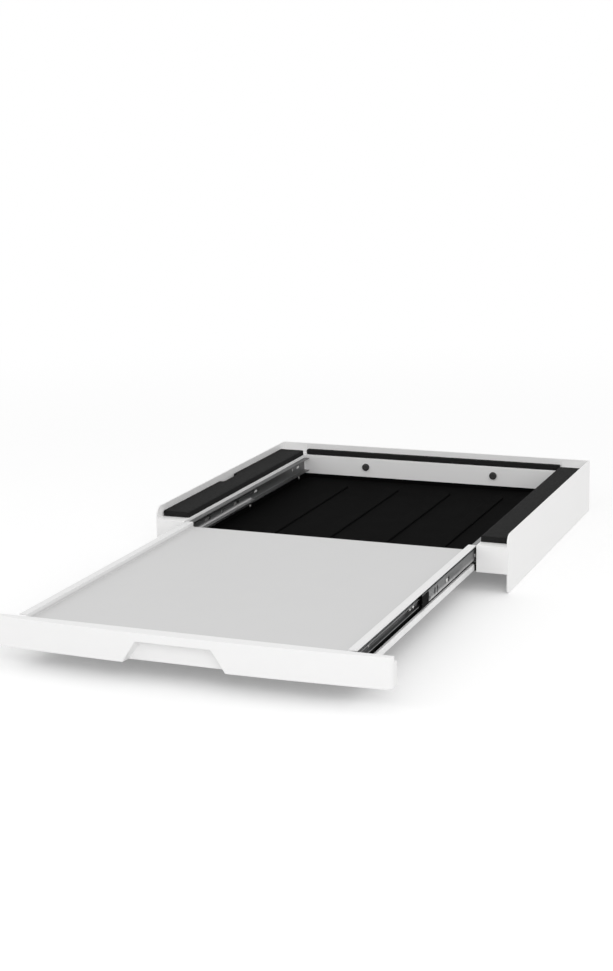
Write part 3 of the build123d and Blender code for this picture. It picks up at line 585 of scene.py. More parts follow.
    @staticmethod
    def bevelled(obj: Piece, pick: Callable, width: float, segments: int) -> Piece:
        """Round the picked edges.

        Args:
            obj: the object.
            pick: a test of an edge's middle and direction.
            width: the width of the rounding, in millimetres.
            segments: its steps.

        Returns:
            The object.
        """
        with Bench.editing(obj, pick, "EDGE"):
            bpy.ops.mesh.bevel(offset=width * MM, segments=segments)
        return obj

    @staticmethod
    def domed(name: str, axis: Axis, seat: Sequence[float], radius: float, height: float,
              *shares: Pair, steps: int = 28) -> Piece:
        """A low dome on a flat foot.

        Args:
            name: the object's name.
            axis: the axis it turns about.
            seat: the middle of its foot.
            radius: the foot's radius.
            height: the dome's height, negative where it points down the axis.
            shares: the points of its curve, as shares of the radius and of the height.
            steps: the steps of the full turn.

        Returns:
            The dome.
        """
        curve = [(radius * out, height * up) for out, up in ((1, 0), *shares)]
        return Bench.turned(name, [(0.0, 0.0), *curve], axis, seat, steps)

    @staticmethod
    def screw(name: str, axis: Axis, seat: Sequence[float], head: float, shank: float,
              side: int = 1) -> Piece:
        """A pan-head screw with a cross recess and a threaded shank.

        Args:
            name: the object's name.
            axis: the line it is driven along.
            seat: the middle of the face that its head sits on.
            head: the height of its head.
            shank: the length below the head.
            side: 1 where the head points up the axis, -1 where it points down.

        Returns:
            The screw.
        """
        profile = [(0.0, head), (1.6, head), (2.7, head * 0.85), (3.3, head * 0.5), (3.4, 0.0)]
        profile += [(radius, -shank * turn / 8) for turn in range(8) for radius in (1.4, 1.88)]
        profile += [(1.0, -shank), (0.0, -shank)]
        profile = [(radius, along * side) for radius, along in profile]
        turned = Bench.turned(name, profile, axis, seat, 20)
        x, y = [value for index, value in enumerate(seat) if index != axis.value]
        cross = [rectangle((x - reach, y - half), (x + reach, y + half))
                 for reach, half in ((1.7, 0.35), (0.35, 1.7))]
        deep, out = [seat[axis.value] + side * level for level in (head * 0.3, head + OVERRUN)]
        return Bench.punched(turned, axis, deep, out, *cross)


class Link:
    """A shader socket that can stand in sums."""

    def __init__(self, graph: "Graph", socket: bpy.types.NodeSocket) -> None:
        """Keep the socket and the graph that it is in."""
        self.graph = graph
        self.socket = socket

    def math(self, operation: str, *values: "Value") -> "Link":
        """One Math node on this value and others."""
        inputs = {index: value for index, value in enumerate(values)}
        return self.graph.add("ShaderNodeMath", {"operation": operation}, inputs)

    def __add__(self, other: "Value") -> "Link":
        """Sum."""
        return self.math("ADD", self, other)

    def __mul__(self, other: "Value") -> "Link":
        """Product."""
        return self.math("MULTIPLY", self, other)

    def wave(self) -> "Link":
        """Sine of the value."""
        return self.math("SINE", self)


Value = Union[Link, float, int, Sequence[float]]


class Graph:
    """The nodes of one material or world."""

    def __init__(self, tree: bpy.types.NodeTree) -> None:
        """Keep the node tree."""
        self.tree = tree

    def add(self, kind: str, settings: Optional[Mapping] = None, inputs: Optional[Mapping] = None,
            output: Union[int, str] = 0) -> Link:
        """Add a node.

        Args:
            kind: the node's type.
            settings: its settings, set first; stops are those of its ramp.
            inputs: the values or links of its sockets.
            output: which output is wanted.

        Returns:
            That output.
        """
        node = self.tree.nodes.new(kind)
        for key, value in (settings or {}).items():
            if key != "stops":
                setattr(node, key, value)
                continue
            for index, (place, colour) in enumerate(value):
                stops = node.color_ramp.elements
                stop = stops[index] if index < 2 else stops.new(place)
                stop.position, stop.color = place, colour
        for key, value in (inputs or {}).items():
            self.feed(node.inputs[key], value)
        return Link(self, node.outputs[output])

    def found(self, kind: str) -> bpy.types.Node:
        """The node of a type that is there from the start."""
        return next(node for node in self.tree.nodes if node.type == kind)

    def feed(self, socket: bpy.types.NodeSocket, value: Value) -> None:
        """Set a socket's value, or link it.

        Args:
            socket: the socket.
            value: a value or a link.
        """
        if isinstance(value, Link):
            self.tree.links.new(value.socket, socket)
        else:
            socket.default_value = value

    def place(self, scale: Sequence[float] = (1, 1, 1)) -> Link:
        """The place on the object, stretched along each axis."""
        spot = self.add("ShaderNodeTexCoord", output=3)
        return self.add("ShaderNodeMapping", inputs={"Vector": spot, "Scale": scale})

    def noise(self, spot: Link, scale: float, detail: float = 2.0, roughness: float = 0.5) -> Link:
        """Soft noise with so many spots to a metre."""
        inputs = {"Vector": spot, "Scale": scale, "Detail": detail, "Roughness": roughness}
        return self.add("ShaderNodeTexNoise", inputs=inputs)

    def ramp(self, value: Link, *stops: tuple[float, Colour]) -> Link:
        """Colours by value."""
        return self.add("ShaderNodeValToRGB", {"stops": stops}, {"Fac": value})

    def mix(self, share: Value, one: Value, other: Value) -> Link:
        """A colour between two."""
        return self.add("ShaderNodeMix", {"data_type": "RGBA"}, {0: share, 6: one, 7: other}, 2)

    def rise(self, low: float, high: float) -> Link:
        """0 below a height and 1 above another, both in millimetres."""
        height = self.add("ShaderNodeSeparateXYZ", inputs={0: self.place()}, output=2)
        return self.add("ShaderNodeMapRange", {"interpolation_type": "SMOOTHSTEP"},
                        {"Value": height, "From Min": low * MM, "From Max": high * MM})

    def bump(self, height: Link, depth: float, strength: float = 1.0) -> Link:
        """A surface raised by a height, at most so many millimetres."""
        return self.add("ShaderNodeBump",
                        inputs={"Height": height, "Strength": strength, "Distance": depth * MM})


def grey(level: float, warmth: float = 0.0) -> Colour:
    """A grey of a linear level, a little warm or cool."""
    return (level * (1 + warmth), level, level * (1 - warmth), 1.0)


@dataclass(frozen=True)
class Finish:
    """A surface finish.

    Args:
        slot: the name of the record's material slot.
        colour: the main colour.
        roughness: the mean roughness.
        label: the material's own name, where finishes share a slot.
        gloss: the strength of its reflections.
        second: the colour that takes over at a height, if there is one.
        levels: between which heights it does, in millimetres.
    """

    slot: str
    colour: Colour
    roughness: float
    label: str = ""
    gloss: float = 0.5
    second: Optional[Colour] = None
    levels: Pair = (0.0, 1.0)

    def fixed(self) -> dict[str, Value]:
        """What is the same all over the surface."""
        return {"Specular IOR Level": self.gloss}

    def varied(self, graph: Graph) -> dict[str, Value]:
        """What changes over the surface."""
        return {"Base Color": self.colour, "Roughness": self.roughness}

    def worn(self, colour: Value, roughness: Value, bump: Link) -> dict[str, Value]:
        """What changes over a surface with a colour, a gloss and a relief of its own."""
        return {"Base Color": colour, "Roughness": roughness, "Normal": bump}

    def shade(self, share: float) -> Colour:
        """The main colour, lighter or darker."""
        return tuple(min(1.0, level * share) for level in self.colour[:3]) + (1.0,)

    def material(self) -> bpy.types.Material:
        """The finish's material, made once.

        Returns:
            The material.
        """
        name = "finish_" + (self.label or self.slot)
        made = bpy.data.materials.get(name)
        if made is not None:
            return made
        made = bpy.data.materials.new(name)
        made.use_nodes = True
        graph = Graph(made.node_tree)
        surface = graph.found("BSDF_PRINCIPLED")
        inputs = {**self.fixed(), **self.varied(graph)}
        if self.second is not None:
            share = graph.rise(*self.levels)
            inputs["Base Color"] = graph.mix(share, inputs["Base Color"], self.second)
        for name, value in inputs.items():
            graph.feed(surface.inputs[name], value)
        made.diffuse_color = self.colour
        return made


@dataclass(frozen=True)
class MouldedPlastic(Finish):
    """Injection-moulded plastic with a fine eroded grain.

    Args:
        grain: the depth of the grain, in millimetres.
        mottle: how much lighter and darker the colour gets.
    """

    gloss: float = 0.42
    grain: float = 0.02
    mottle: float = 0.012

    def varied(self, graph: Graph) -> dict[str, Value]:
        """Slow drift of colour and gloss, and a bump for the grain.

        Args:
            graph: the material's nodes.

        Returns:
            The values and links of the shader's sockets.
        """
        spot = graph.place()
        drift = graph.noise(spot, 14, 3)
        grain = graph.noise(spot, 1300, 1)
        flow = graph.noise(graph.place((1, 0.2, 1)), 60, 2)
        colour = graph.mix(drift, self.shade(1 - self.mottle), self.shade(1 + self.mottle))
        rough = drift * 0.08 + flow * 0.06 + (self.roughness - 0.07)
        return self.worn(colour, rough, graph.bump(grain, self.grain, 0.6))


@dataclass(frozen=True)
class CoatedSteel(Finish):
    """Powder-coated sheet with the coat's faint orange peel.

    Args:
        peel: the depth of the orange peel, in millimetres.
    """

    peel: float = 0.03

    def varied(self, graph: Graph) -> dict[str, Value]:
        """Peel in the bump, and dust that dulls it in patches.

        Args:
            graph: the material's nodes.

        Returns:
            The values and links of the shader's sockets.
        """
        spot = graph.place()
        peel = graph.noise(spot, 420, 2)
        dust = graph.noise(spot, 22, 4, 0.6)
        colour = graph.mix(dust, self.colour, self.shade(1.35))
        rough = dust * 0.16 + (self.roughness - 0.08)
        return self.worn(colour, rough, graph.bump(peel, self.peel, 0.5))


@dataclass(frozen=True)
class RolledSteel(Finish):
    """Plated strip steel with streaks along its rolling direction.

    Args:
        grain: the stretch of the streaks along each axis.
        streak: how much lighter and darker the streaks are.
    """

    grain: Triple = (1.0, 0.02, 1.0)
    streak: float = 0.18

    def fixed(self) -> dict[str, Value]:
        """Bare metal."""
        return {"Metallic": 1.0}

    def varied(self, graph: Graph) -> dict[str, Value]:
        """Streaks in the colour, the gloss and the bump, with a few duller patches.

        Args:
            graph: the material's nodes.

        Returns:
            The values and links of the shader's sockets.
        """
        streaks = graph.noise(graph.place(self.grain), 1100, 4, 0.65)
        patch = graph.noise(graph.place(), 30, 3, 0.6)
        colour = graph.mix(streaks, self.shade(1 - self.streak), self.shade(1 + self.streak))
        colour = graph.mix(patch * 0.35, colour, self.shade(0.75))
        rough = streaks * 0.12 + patch * 0.14 + (self.roughness - 0.13)
        return self.worn(colour, rough, graph.bump(streaks, 0.012, 0.5))


@dataclass(frozen=True)
class Foam(Finish):
    """Closed-cell foam: small skinned bubbles with lighter rims."""

    def varied(self, graph: Graph) -> dict[str, Value]:
        """Cells of two sizes in the bump and the colour.

        Args:
            graph: the material's nodes.

        Returns:
            The values and links of the shader's sockets.
        """
        spot = graph.place()
        warp = graph.noise(spot, 500, 2)
        cell = graph.add("ShaderNodeTexVoronoi", {"feature": "DISTANCE_TO_EDGE"},
                         {"Vector": spot, "Scale": 1150.0, "Randomness": 1.0})
        height = cell * 1.6 + warp * 0.7
        colour = graph.ramp(cell * 2.0 + warp * 0.3, (0.05, self.shade(1.9)), (0.5, self.colour))
        return self.worn(colour, self.roughness, graph.bump(height, 0.25, 0.9))


@dataclass(frozen=True)
class Rubber(Finish):
    """Moulded rubber, faintly bloomed."""

    def varied(self, graph: Graph) -> dict[str, Value]:
        """Bloom in patches over a fine matt grain.

        Args:
            graph: the material's nodes.

        Returns:
            The values and links of the shader's sockets.
        """
        spot = graph.place()
        bloom = graph.noise(spot, 120, 4, 0.6)
        colour = graph.mix(bloom, self.colour, self.shade(1.8))
        rough = bloom * 0.15 + (self.roughness - 0.07)
        return self.worn(colour, rough, graph.bump(graph.noise(spot, 2200, 1), 0.03, 0.5))


@dataclass(frozen=True)
class Webbing(Finish):
    """Woven polyester webbing, read from the strip's own map of metres along and across.

    Args:
        rib: the length of one weave step along the strip, in millimetres.
        band: the width of a band whose ribs slant one way, in millimetres.
        warp: the width of one warp thread, in millimetres.
        depth: the depth of the weave, in millimetres.
    """

    rib: float = 2.4
    band: float = 6.0
    warp: float = 1.5
    depth: float = 0.35

    def fixed(self) -> dict[str, Value]:
        """A little sheen, as on spun yarn."""
        return {"Sheen Weight": 0.25, "Sheen Roughness": 0.5}

    def varied(self, graph: Graph) -> dict[str, Value]:
        """Slanted ribs that change direction in bands, crossed by the warp threads, with painted
        shade in the hollows between them.

        Args:
            graph: the material's nodes.

        Returns:
            The values and links of the shader's sockets.
        """
        spot = graph.add("ShaderNodeUVMap", {"uv_map": "UVMap"})
        along = graph.add("ShaderNodeSeparateXYZ", inputs={0: spot}, output=0)
        across = graph.add("ShaderNodeSeparateXYZ", inputs={0: spot}, output=1)
        band = across.math("PINGPONG", across, self.band * MM)
        ribs = ((along + band) * (math.tau / self.rib / MM)).wave()
        threads = (across * (math.tau / self.warp / MM)).wave()
        height = ribs * 0.35 + threads * 0.15 + 0.5
        fuzz = graph.noise(graph.place(), 700, 3)
        # Painted shade: the weave's hollows are darker than the tops of its ribs.
        colour = graph.mix(height, self.shade(0.78), self.shade(1.03))
        colour = graph.mix(fuzz * 0.25, colour, self.shade(0.9))
        rough = fuzz * 0.1 + (self.roughness - 0.05)
        return self.worn(colour, rough, graph.bump(height, self.depth, 0.8))


@dataclass(frozen=True)
class LoopFabric(Finish):
    """Brushed loop fabric of a hook-and-loop tie."""

    def fixed(self) -> dict[str, Value]:
        """The nap's sheen."""
        return {"Sheen Weight": 0.4, "Sheen Roughness": 0.6}

    def varied(self, graph: Graph) -> dict[str, Value]:
        """A tangled nap, with painted shade that darkens its hollows.

        Args:
            graph: the material's nodes.

        Returns:
            The values and links of the shader's sockets.
        """
        spot = graph.place()
        nap = graph.noise(spot, 1500, 4, 0.7)
        # Painted shade: the nap's hollows are darker than its tips.
        colour = graph.mix(nap, self.shade(0.7), self.shade(1.15))
        return self.worn(colour, self.roughness, graph.bump(nap, 0.4, 0.9))


class Finishes:
    FRAME = MouldedPlastic("frame_plastic", grey(0.93, 0.004), 0.42)
    FASCIA = MouldedPlastic("fascia_plastic", grey(0.87, 0.002), 0.38, grain=0.012)
    # Partly painted shade: the pale grey is the tray's own colour. The well's floor below 66 mm is
    # kept darker than the rims above 70 mm to stand in for the shade of a machine standing above
    # it.
    TRAY = MouldedPlastic("tray_plastic", grey(0.65, 0.002), 0.44, grain=0.03, mottle=0.02,
                          second=grey(0.84, 0.002), levels=(66.0, 70.0))
    COVER = MouldedPlastic("cover_plastic", grey(0.82, 0.006), 0.40, grain=0.015)
    BLACK = MouldedPlastic("black_plastic", grey(0.004), 0.5, mottle=0.15, gloss=0.012)
    LEVER = MouldedPlastic("black_plastic", grey(0.09), 0.5, label="lever_plastic", gloss=0.15)
    FOAM = Foam("foam", grey(0.011), 0.95, gloss=0.15)
    PAN = CoatedSteel("pan_steel", grey(0.003), 0.75, gloss=0.01)
    CHANNEL = CoatedSteel("channel_steel", grey(0.005), 0.65, gloss=0.05)
    TRIM = CoatedSteel("trim_steel", grey(0.80, 0.004), 0.40, peel=0.02)
    SLIDE = RolledSteel("slide_steel", grey(0.20, -0.01), 0.40)
    # Painted reflection: the mid member turns lighter below 56.5 mm and is fully light below 51 mm.
    # This stands in for the white surfaces below mirrored in its lower shoulder.
    RACE = RolledSteel("slide_steel", grey(0.20, -0.01), 0.40, label="race_steel",
                       second=grey(0.55), levels=(56.5, 51.0))
    CAGE = RolledSteel("cage_steel", grey(0.62, 0.01), 0.30, streak=0.1)
    BALL = RolledSteel("ball_steel", grey(0.82), 0.14, grain=(1.0, 1.0, 1.0), streak=0.03)
    SCREW = RolledSteel("screw_steel", grey(0.70, 0.01), 0.28, grain=(1.0, 1.0, 1.0), streak=0.12)
    RATCHET = RolledSteel("ratchet_steel", grey(0.60, 0.015), 0.34, grain=(0.05, 1.0, 1.0),
                          streak=0.12)
    RUBBER = Rubber("stop_rubber", grey(0.02), 0.75)
    WEBBING = Webbing("webbing", grey(0.80, 0.01), 0.75)
    THREAD = LoopFabric("webbing", grey(0.70, 0.01), 0.8, label="sewing_thread")
    TIE = LoopFabric("tie_fabric", grey(0.30, 0.0), 0.9)


class Assembly:
    """A sub-assembly that dresses its pieces and reports them."""

    def dress(self, obj: Piece, finish: Finish, body: str, *nodes: str) -> Piece:
        """Finish a new piece and let it ride.

        Args:
            obj: the piece.
            finish: what it wears.
            body: the body that it moves with.
            nodes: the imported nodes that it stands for.

        Returns:
            The piece.
        """
        Bench.shade(obj)
        obj.data.materials.clear()
        obj.data.materials.append(finish.material())
        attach(obj, body)
        if nodes:
            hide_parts(*nodes)
        log.info("%s on %s: %d faces", obj.name, body, len(obj.data.polygons))
        return obj

    def pair(self, obj: Piece, finish: Finish, body: str, node: str) -> list[Piece]:
        """Dress a right-hand piece and its mirrored copy.

        Args:
            obj: the right-hand piece, whose name ends in right.
            finish: what both wear.
            body: the body of both, or the start of its name where each side has its own.
            node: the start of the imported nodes' names.

        Returns:
            Both pieces.
        """
        left = Bench.copied(obj, obj.name.replace("right", "left"), mirror=True)
        pieces = []
        for side, piece in ((Side.RIGHT, obj), (Side.LEFT, left)):
            own = body if body in frame["bodies"] else f"{body}_{side.tag}"
            pieces.append(self.dress(piece, finish, own, f"{node}_{side.tag}"))
        return pieces

    def both(self, obj: Piece, name: str) -> Piece:
        """A right-hand group and its mirrored copy as one piece."""
        return Bench.joined([obj, Bench.copied(obj, "copy", mirror=True)], name)

    def drive(self, name: str, body: str, node: str, axis: Axis, seats: Sequence[Triple],
              size: Pair, side: int = 1) -> None:
        """Drive a group of screws on both sides of the frame, and dress them as one piece.

        Args:
            name: the piece's name.
            body: the body that it moves with.
            node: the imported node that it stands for.
            axis: the line that the screws are driven along.
            seats: the middle of the face that each right-hand head sits on.
            size: the height of a head and the length below it.
            side: 1 where the heads point up the axis, -1 where they point down.
        """
        screws = [Bench.screw("screw", axis, seats[0], *size, side)]
        for seat in seats[1:]:
            move = [there - here for there, here in zip(seat, seats[0])]
            screws.append(Bench.copied(screws[0], "screw", move))
        self.dress(self.both(Bench.joined(screws, name), name), Finishes.SCREW, body, node)

    def keep(self, finish: Finish, *nodes: str) -> None:
        """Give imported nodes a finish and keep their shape.

        Args:
            finish: what they wear.
            nodes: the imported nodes.
        """
        for node in nodes:
            mesh = frame["nodes"][node].data
            mesh.materials.clear()
            mesh.materials.append(finish.material())
            log.info("%s keeps its packed shape", node)


@dataclass
class StackingFrame(Assembly):
    """The frame that stands between the machines: beams, pan, foam and bolts.

    Args:
        wall: the thickness of the moulded walls.
        rib: the thickness of the ribs under the ledges.
        ribs: how many ribs a side beam has.
        rear_ribs: how many ribs the rear beam has.
        edge: the rounding of moulded edges.
        lip_radius: the rounding of the lip's front corner.
        skirt_radius: the rounding of the skirt's front corner.
        flange: the width of the foot flange.
        slot_width, slot_length: the strap slot.
        screw_hole, bolt_hole: the radius of the holes.
        slide_screws, pan_screws: where the screws stand along the frame.
        slide_level, pan_level: how high they stand.
        bolt_levels: how high the corner bolts stand.
        sheet: the thickness of the pan's sheet.
        bead_length, bead_width, bead_height: the pressed beads of the pan.
        beads: how many there are.
        bead_weld: the distance below which two points of a bead's outline are one.
        bend: the rounding of the pan's bends and of its beads.
        hem: the half width and the height of the pan's raised front edge.
        notch_gap: the foam's distance from the strap slot.
        foam_edge, tape_edge: the rounding of the foam strips and of the pads.
        cell: the size of the foam's mesh.
        dents: how wide and how deep the foam's dents are.
        slide_screw, pan_screw: the height of a screw's head and the length below it.
    """

    wall: float = 3.0
    rib: float = 2.5
    ribs: int = 8
    rear_ribs: int = 5
    edge: float = 0.9
    lip_radius: float = 14.0
    skirt_radius: float = 6.0
    flange: float = 14.0
    slot_width: float = 8.0
    slot_length: float = 60.0
    screw_hole: float = 2.0
    bolt_hole: float = 2.6
    slide_screws: tuple[float, ...] = (59.89, 265.0, 470.11)
    pan_screws: tuple[float, ...] = (29.945, 265.0, 500.055)
    slide_level: float = 58.0
    pan_level: float = 36.0
    bolt_levels: tuple[float, ...] = (45.5, 60.0)
    sheet: float = 1.0
    bead_length: float = 420.0
    bead_width: float = 26.0
    bead_height: float = 3.0
    beads: int = 4
    bead_weld: float = 0.3
    bend: float = 1.6
    hem: Pair = (233.3, 35.0)
    notch_gap: float = 0.3
    foam_edge: float = 1.2
    tape_edge: float = 0.4
    cell: float = 2.2
    dents: Pair = (14.0, 0.5)
    slide_screw: Pair = (1.2, 8.0)
    pan_screw: Pair = (1.5, 9.0)

    def build(self) -> None:
        """Build and dress the whole frame."""
        self.beam = Extent.of("side_beam_right")
        self.rear = Extent.of("rear_beam")
        self.pan = Extent.of("base_pan")
        self.foam = Extent.of("anti_slip_strip_right")
        self.seat, self.ledge = self.pan.z0, self.foam.z0
        self.pair(self.side_beam(), Finishes.FRAME, "frame", "side_beam")
        self.dress(self.rear_beam(), Finishes.FRAME, "frame", "rear_beam")
        self.dress(self.base_pan(), Finishes.PAN, "frame", "base_pan")
        self.foam_pieces()
        self.screws()
        self.keep(Finishes.SCREW, "corner_bolts")
        stops = self.both(self.rear_stop(), "door_stops")
        self.dress(stops, Finishes.RUBBER, "frame", "rear_stops")

    def side_beam(self) -> Piece:
        """The right-hand beam: a hollow ledge on a wall that grips both machines.

        Returns:
            The beam.
        """
        beam, wall = self.beam, self.wall
        body = Bench.block("ledge_beam_right", beam.low, beam.high)
        low, high = (beam.x0 - OVERRUN, beam.y0 - OVERRUN), (beam.x1 - wall, beam.y1 - wall)
        Bench.cut(body, Bench.block("above", (*low, self.ledge), (*high, beam.z1 + OVERRUN)),
                  Bench.block("below", (*low, beam.z0 - OVERRUN), (*high, self.seat)))
        for level, radius in ((beam.z1, self.lip_radius), (beam.z0, self.skirt_radius)):
            def corner(spot: Vector, along: Vector) -> bool:
                """Whether an edge is the wall's front corner at the level."""
                return spot.y < beam.y0 + SEAL and abs(spot.z - level) < SEAL and abs(along.x) > 0.9
            Bench.bevelled(body, corner, radius, 8)
        Bench.softened(body, self.edge)
        x0, x1 = beam.x0 + wall, beam.x1 - wall - OVERRUN
        low, foot, top = self.seat - OVERRUN, self.seat + wall, self.ledge - wall
        inner = beam.x0 + self.flange
        section = [(inner, low), (x1, low), (x1, top), (x0, top), (x0, foot), (inner, foot)]
        Bench.cut(body, *[Bench.prism("bay", section, Axis.Y, near, far)
                          for near, far in self.bays(beam.y0, beam.y1, self.ribs)])
        middle = (beam.y0 + beam.y1) / 2
        slot = rectangle((beam.x1 - wall - self.slot_width, middle - self.slot_length / 2),
                         (beam.x1 - wall + SEAL, middle + self.slot_length / 2), self.edge)
        Bench.punched(body, Axis.Z, self.seat - OVERRUN, self.ledge + OVERRUN, slot)
        holes = [circle((place, self.slide_level), self.screw_hole) for place in self.slide_screws]
        holes += self.pan_holes() + self.bolt_holes()
        return Bench.punched(body, Axis.X, beam.x0 - OVERRUN, beam.x0 + wall * 3, *holes)

    def pan_holes(self) -> list[list[Spot]]:
        """The outlines of the pan's screw holes."""
        return [circle((place, self.pan_level), self.screw_hole) for place in self.pan_screws]

    def bolt_holes(self) -> list[list[Spot]]:
        """The outlines of the corner bolts' holes."""
        return [circle((self.rear.middle.y, level), self.bolt_hole) for level in self.bolt_levels]

    def bays(self, near: float, far: float, ribs: int) -> list[Spot]:
        """The spaces between evenly spaced ribs.

        Args:
            near: where the beam starts.
            far: where it ends.
            ribs: how many ribs divide it.

        Returns:
            Where each space starts and ends.
        """
        half = self.rib / 2
        middles = spread(near, far, ribs + 2)
        starts = [near + self.wall] + [middle + half for middle in middles[1:-1]]
        ends = [middle - half for middle in middles[1:-1]] + [far - self.wall]
        return list(zip(starts, ends))

    def rear_beam(self) -> Piece:
        """The beam that joins the two ledges behind the shelf.

        Returns:
            The beam.
        """
        rear, wall = self.rear, self.wall
        body = Bench.block("cross_beam", rear.low, rear.high)
        near, far = rear.y0 - OVERRUN, rear.y1 - wall
        Bench.cut(body, Bench.block("above", (rear.x0 - OVERRUN, near, self.ledge),
                                    (rear.x1 + OVERRUN, far, rear.z1 + OVERRUN)),
                  Bench.block("below", (rear.x0 - OVERRUN, near, rear.z0 - OVERRUN),
                              (rear.x1 + OVERRUN, far, self.seat)))
        Bench.softened(body, self.edge)
        Bench.cut(body, *[Bench.block("bay", (low, rear.y0 + wall, self.seat - OVERRUN),
                                      (high, rear.y1 - wall - OVERRUN, self.ledge - wall))
                          for low, high in self.bays(rear.x0, rear.x1, self.rear_ribs)])
        for side in Side:
            ends = sorted(side.value * (rear.x1 + out) for out in (-wall - OVERRUN, OVERRUN))
            Bench.punched(body, Axis.X, *ends, *self.bolt_holes())
        return body

    def base_pan(self) -> Piece:
        """The pressed pan between the beams, its beads raised from below.

        Returns:
            The pan.
        """
        pan, sheet = self.pan, self.sheet
        top, (hem, hem_top) = self.seat + sheet, self.hem
        body = Bench.block("floor_pan", pan.low, pan.high)
        near, far, side = pan.y0 - OVERRUN, pan.y1 - sheet, pan.x1 - sheet
        plan = [(-side, far), (-side, near), (-hem, near), (-hem, pan.y0 + sheet),
                (hem, pan.y0 + sheet), (hem, near), (side, near), (side, far)]
        Bench.cut(body, Bench.prism("inside", plan, Axis.Z, top, pan.z1 + OVERRUN))
        Bench.cut(body, Bench.block("over_hem", (-hem - OVERRUN, near, hem_top),
                                    (hem + OVERRUN, pan.y0 + sheet + OVERRUN, pan.z1 + OVERRUN)))
        Bench.bevelled(body, lambda spot, along: spot.z < pan.z0 + SEAL and abs(along.y) > 0.9,
                       self.bend, 4)
        step = (pan.x1 - pan.x0) / (self.beads + 1)
        places = spread(pan.x0 + step, pan.x1 - step, self.beads)
        rise = top + self.bead_height
        low = pan.z0 - OVERRUN
        Bench.merged(body, [self.bead(place, 0.0, top - sheet / 2, rise) for place in places])
        Bench.cut(body, *[self.bead(place, sheet, low, rise - sheet) for place in places])
        Bench.punched(body, Axis.X, pan.x0 - OVERRUN, pan.x0 + 2 * sheet, *self.pan_holes())
        return Bench.punched(body, Axis.X, pan.x1 - 2 * sheet, pan.x1 + OVERRUN, *self.pan_holes())

    def bead(self, across: float, inset: float, low: float, high: float) -> Piece:
        """One bead's form, its upper edge rounded.

        Args:
            across: where it runs, across the pan.
            inset: how far its outline is moved in.
            low: where it starts.
            high: where it ends.

        Returns:
            The form.
        """
        middle = (self.pan.y0 + self.pan.y1) / 2
        slot = stadium((0.0, 0.0), self.bead_length - 2 * inset, self.bead_width - 2 * inset, 12)
        outline = [(across + y, middle + x) for x, y in slot]
        form = Bench.prism("bead", outline[::-1], Axis.Z, low, high)
        with Bench.editing(form):
            bpy.ops.mesh.remove_doubles(threshold=self.bead_weld * MM)
        return Bench.bevelled(form, lambda spot, along: spot.z > high - SEAL, self.bend, 4)

    def foam_pieces(self) -> None:
        """Cut the foam: a strip on each ledge, one on the rear beam, and a pad below each beam."""
        foam = self.foam
        middle = (self.beam.y0 + self.beam.y1) / 2
        near = self.beam.x1 - self.wall - self.slot_width - self.notch_gap
        reach = self.slot_length / 2 + self.notch_gap
        outline = [(foam.x0, foam.y0), (foam.x1, foam.y0), (foam.x1, middle - reach),
                   (near, middle - reach), (near, middle + reach), (foam.x1, middle + reach),
                   (foam.x1, foam.y1), (foam.x0, foam.y1)]
        strip = self.foam_block("foam_strip_right", outline, foam)
        pieces = self.pair(strip, Finishes.FOAM, "frame", "anti_slip_strip")
        rear, pad = Extent.of("anti_slip_strip_rear"), Extent.of("washer_pad_right")
        outline = rectangle(rear.low[:2], rear.high[:2])
        strip = self.foam_block("foam_strip_rear", outline, rear)
        pieces.append(self.dress(strip, Finishes.FOAM, "frame", "anti_slip_strip_rear"))
        tape = Bench.softened(Bench.block("foam_tape_right", pad.low, pad.high), self.tape_edge)
        pieces += self.pair(tape, Finishes.FOAM, "frame", "washer_pad")

    def foam_block(self, name: str, outline: Sequence[Spot], size: Extent) -> Piece:
        """Foam cut from sheet: soft edges, and a face that gives a little.

        Args:
            name: the piece's name.
            outline: its outline from above.
            size: its packed extent.

        Returns:
            The foam.
        """
        block = Bench.prism(name, outline, Axis.Z, size.z0, size.z1)
        Bench.bevelled(block, lambda spot, along: spot.z > size.z1 - SEAL, self.foam_edge, 3)
        Bench.modified(block, "REMESH", mode="VOXEL", voxel_size=self.cell * MM,
                       use_smooth_shade=True)
        clouds = bpy.data.textures.new("foam_dents", "CLOUDS")
        width, depth = self.dents
        clouds.noise_scale = width * MM
        return Bench.modified(block, "DISPLACE", texture=clouds, strength=depth * MM,
                              mid_level=1.0, texture_coords="LOCAL")

    def screws(self) -> None:
        """Drive the screws of the outer slides and of the pan."""
        seats = [(self.beam.x0, place, self.slide_level) for place in self.slide_screws]
        self.drive("beam_screws", "frame", "outer_slide_screws", Axis.X, seats,
                   self.slide_screw, -1)
        seats = [(self.beam.x0 - self.sheet, place, self.pan_level) for place in self.pan_screws]
        self.drive("floor_screws", "frame", "pan_screws", Axis.X, seats, self.pan_screw, -1)

    def rear_stop(self) -> Piece:
        """One rubber stop: a low dome with a dimple, its foot on the rear beam.

        Returns:
            The stop.
        """
        stops = Extent.of("rear_stops")
        radius, height = (stops.z1 - stops.z0) / 2, stops.y1 - stops.y0
        seat = (stops.x1 - radius, stops.y1, stops.middle.z)
        return Bench.domed("stop", Axis.Y, seat, radius, -height, (1, 0.45), (0.9, 0.8),
                           (0.7, 0.97), (0.5, 1), (0.3, 0.9), (0, 0.85), steps=36)


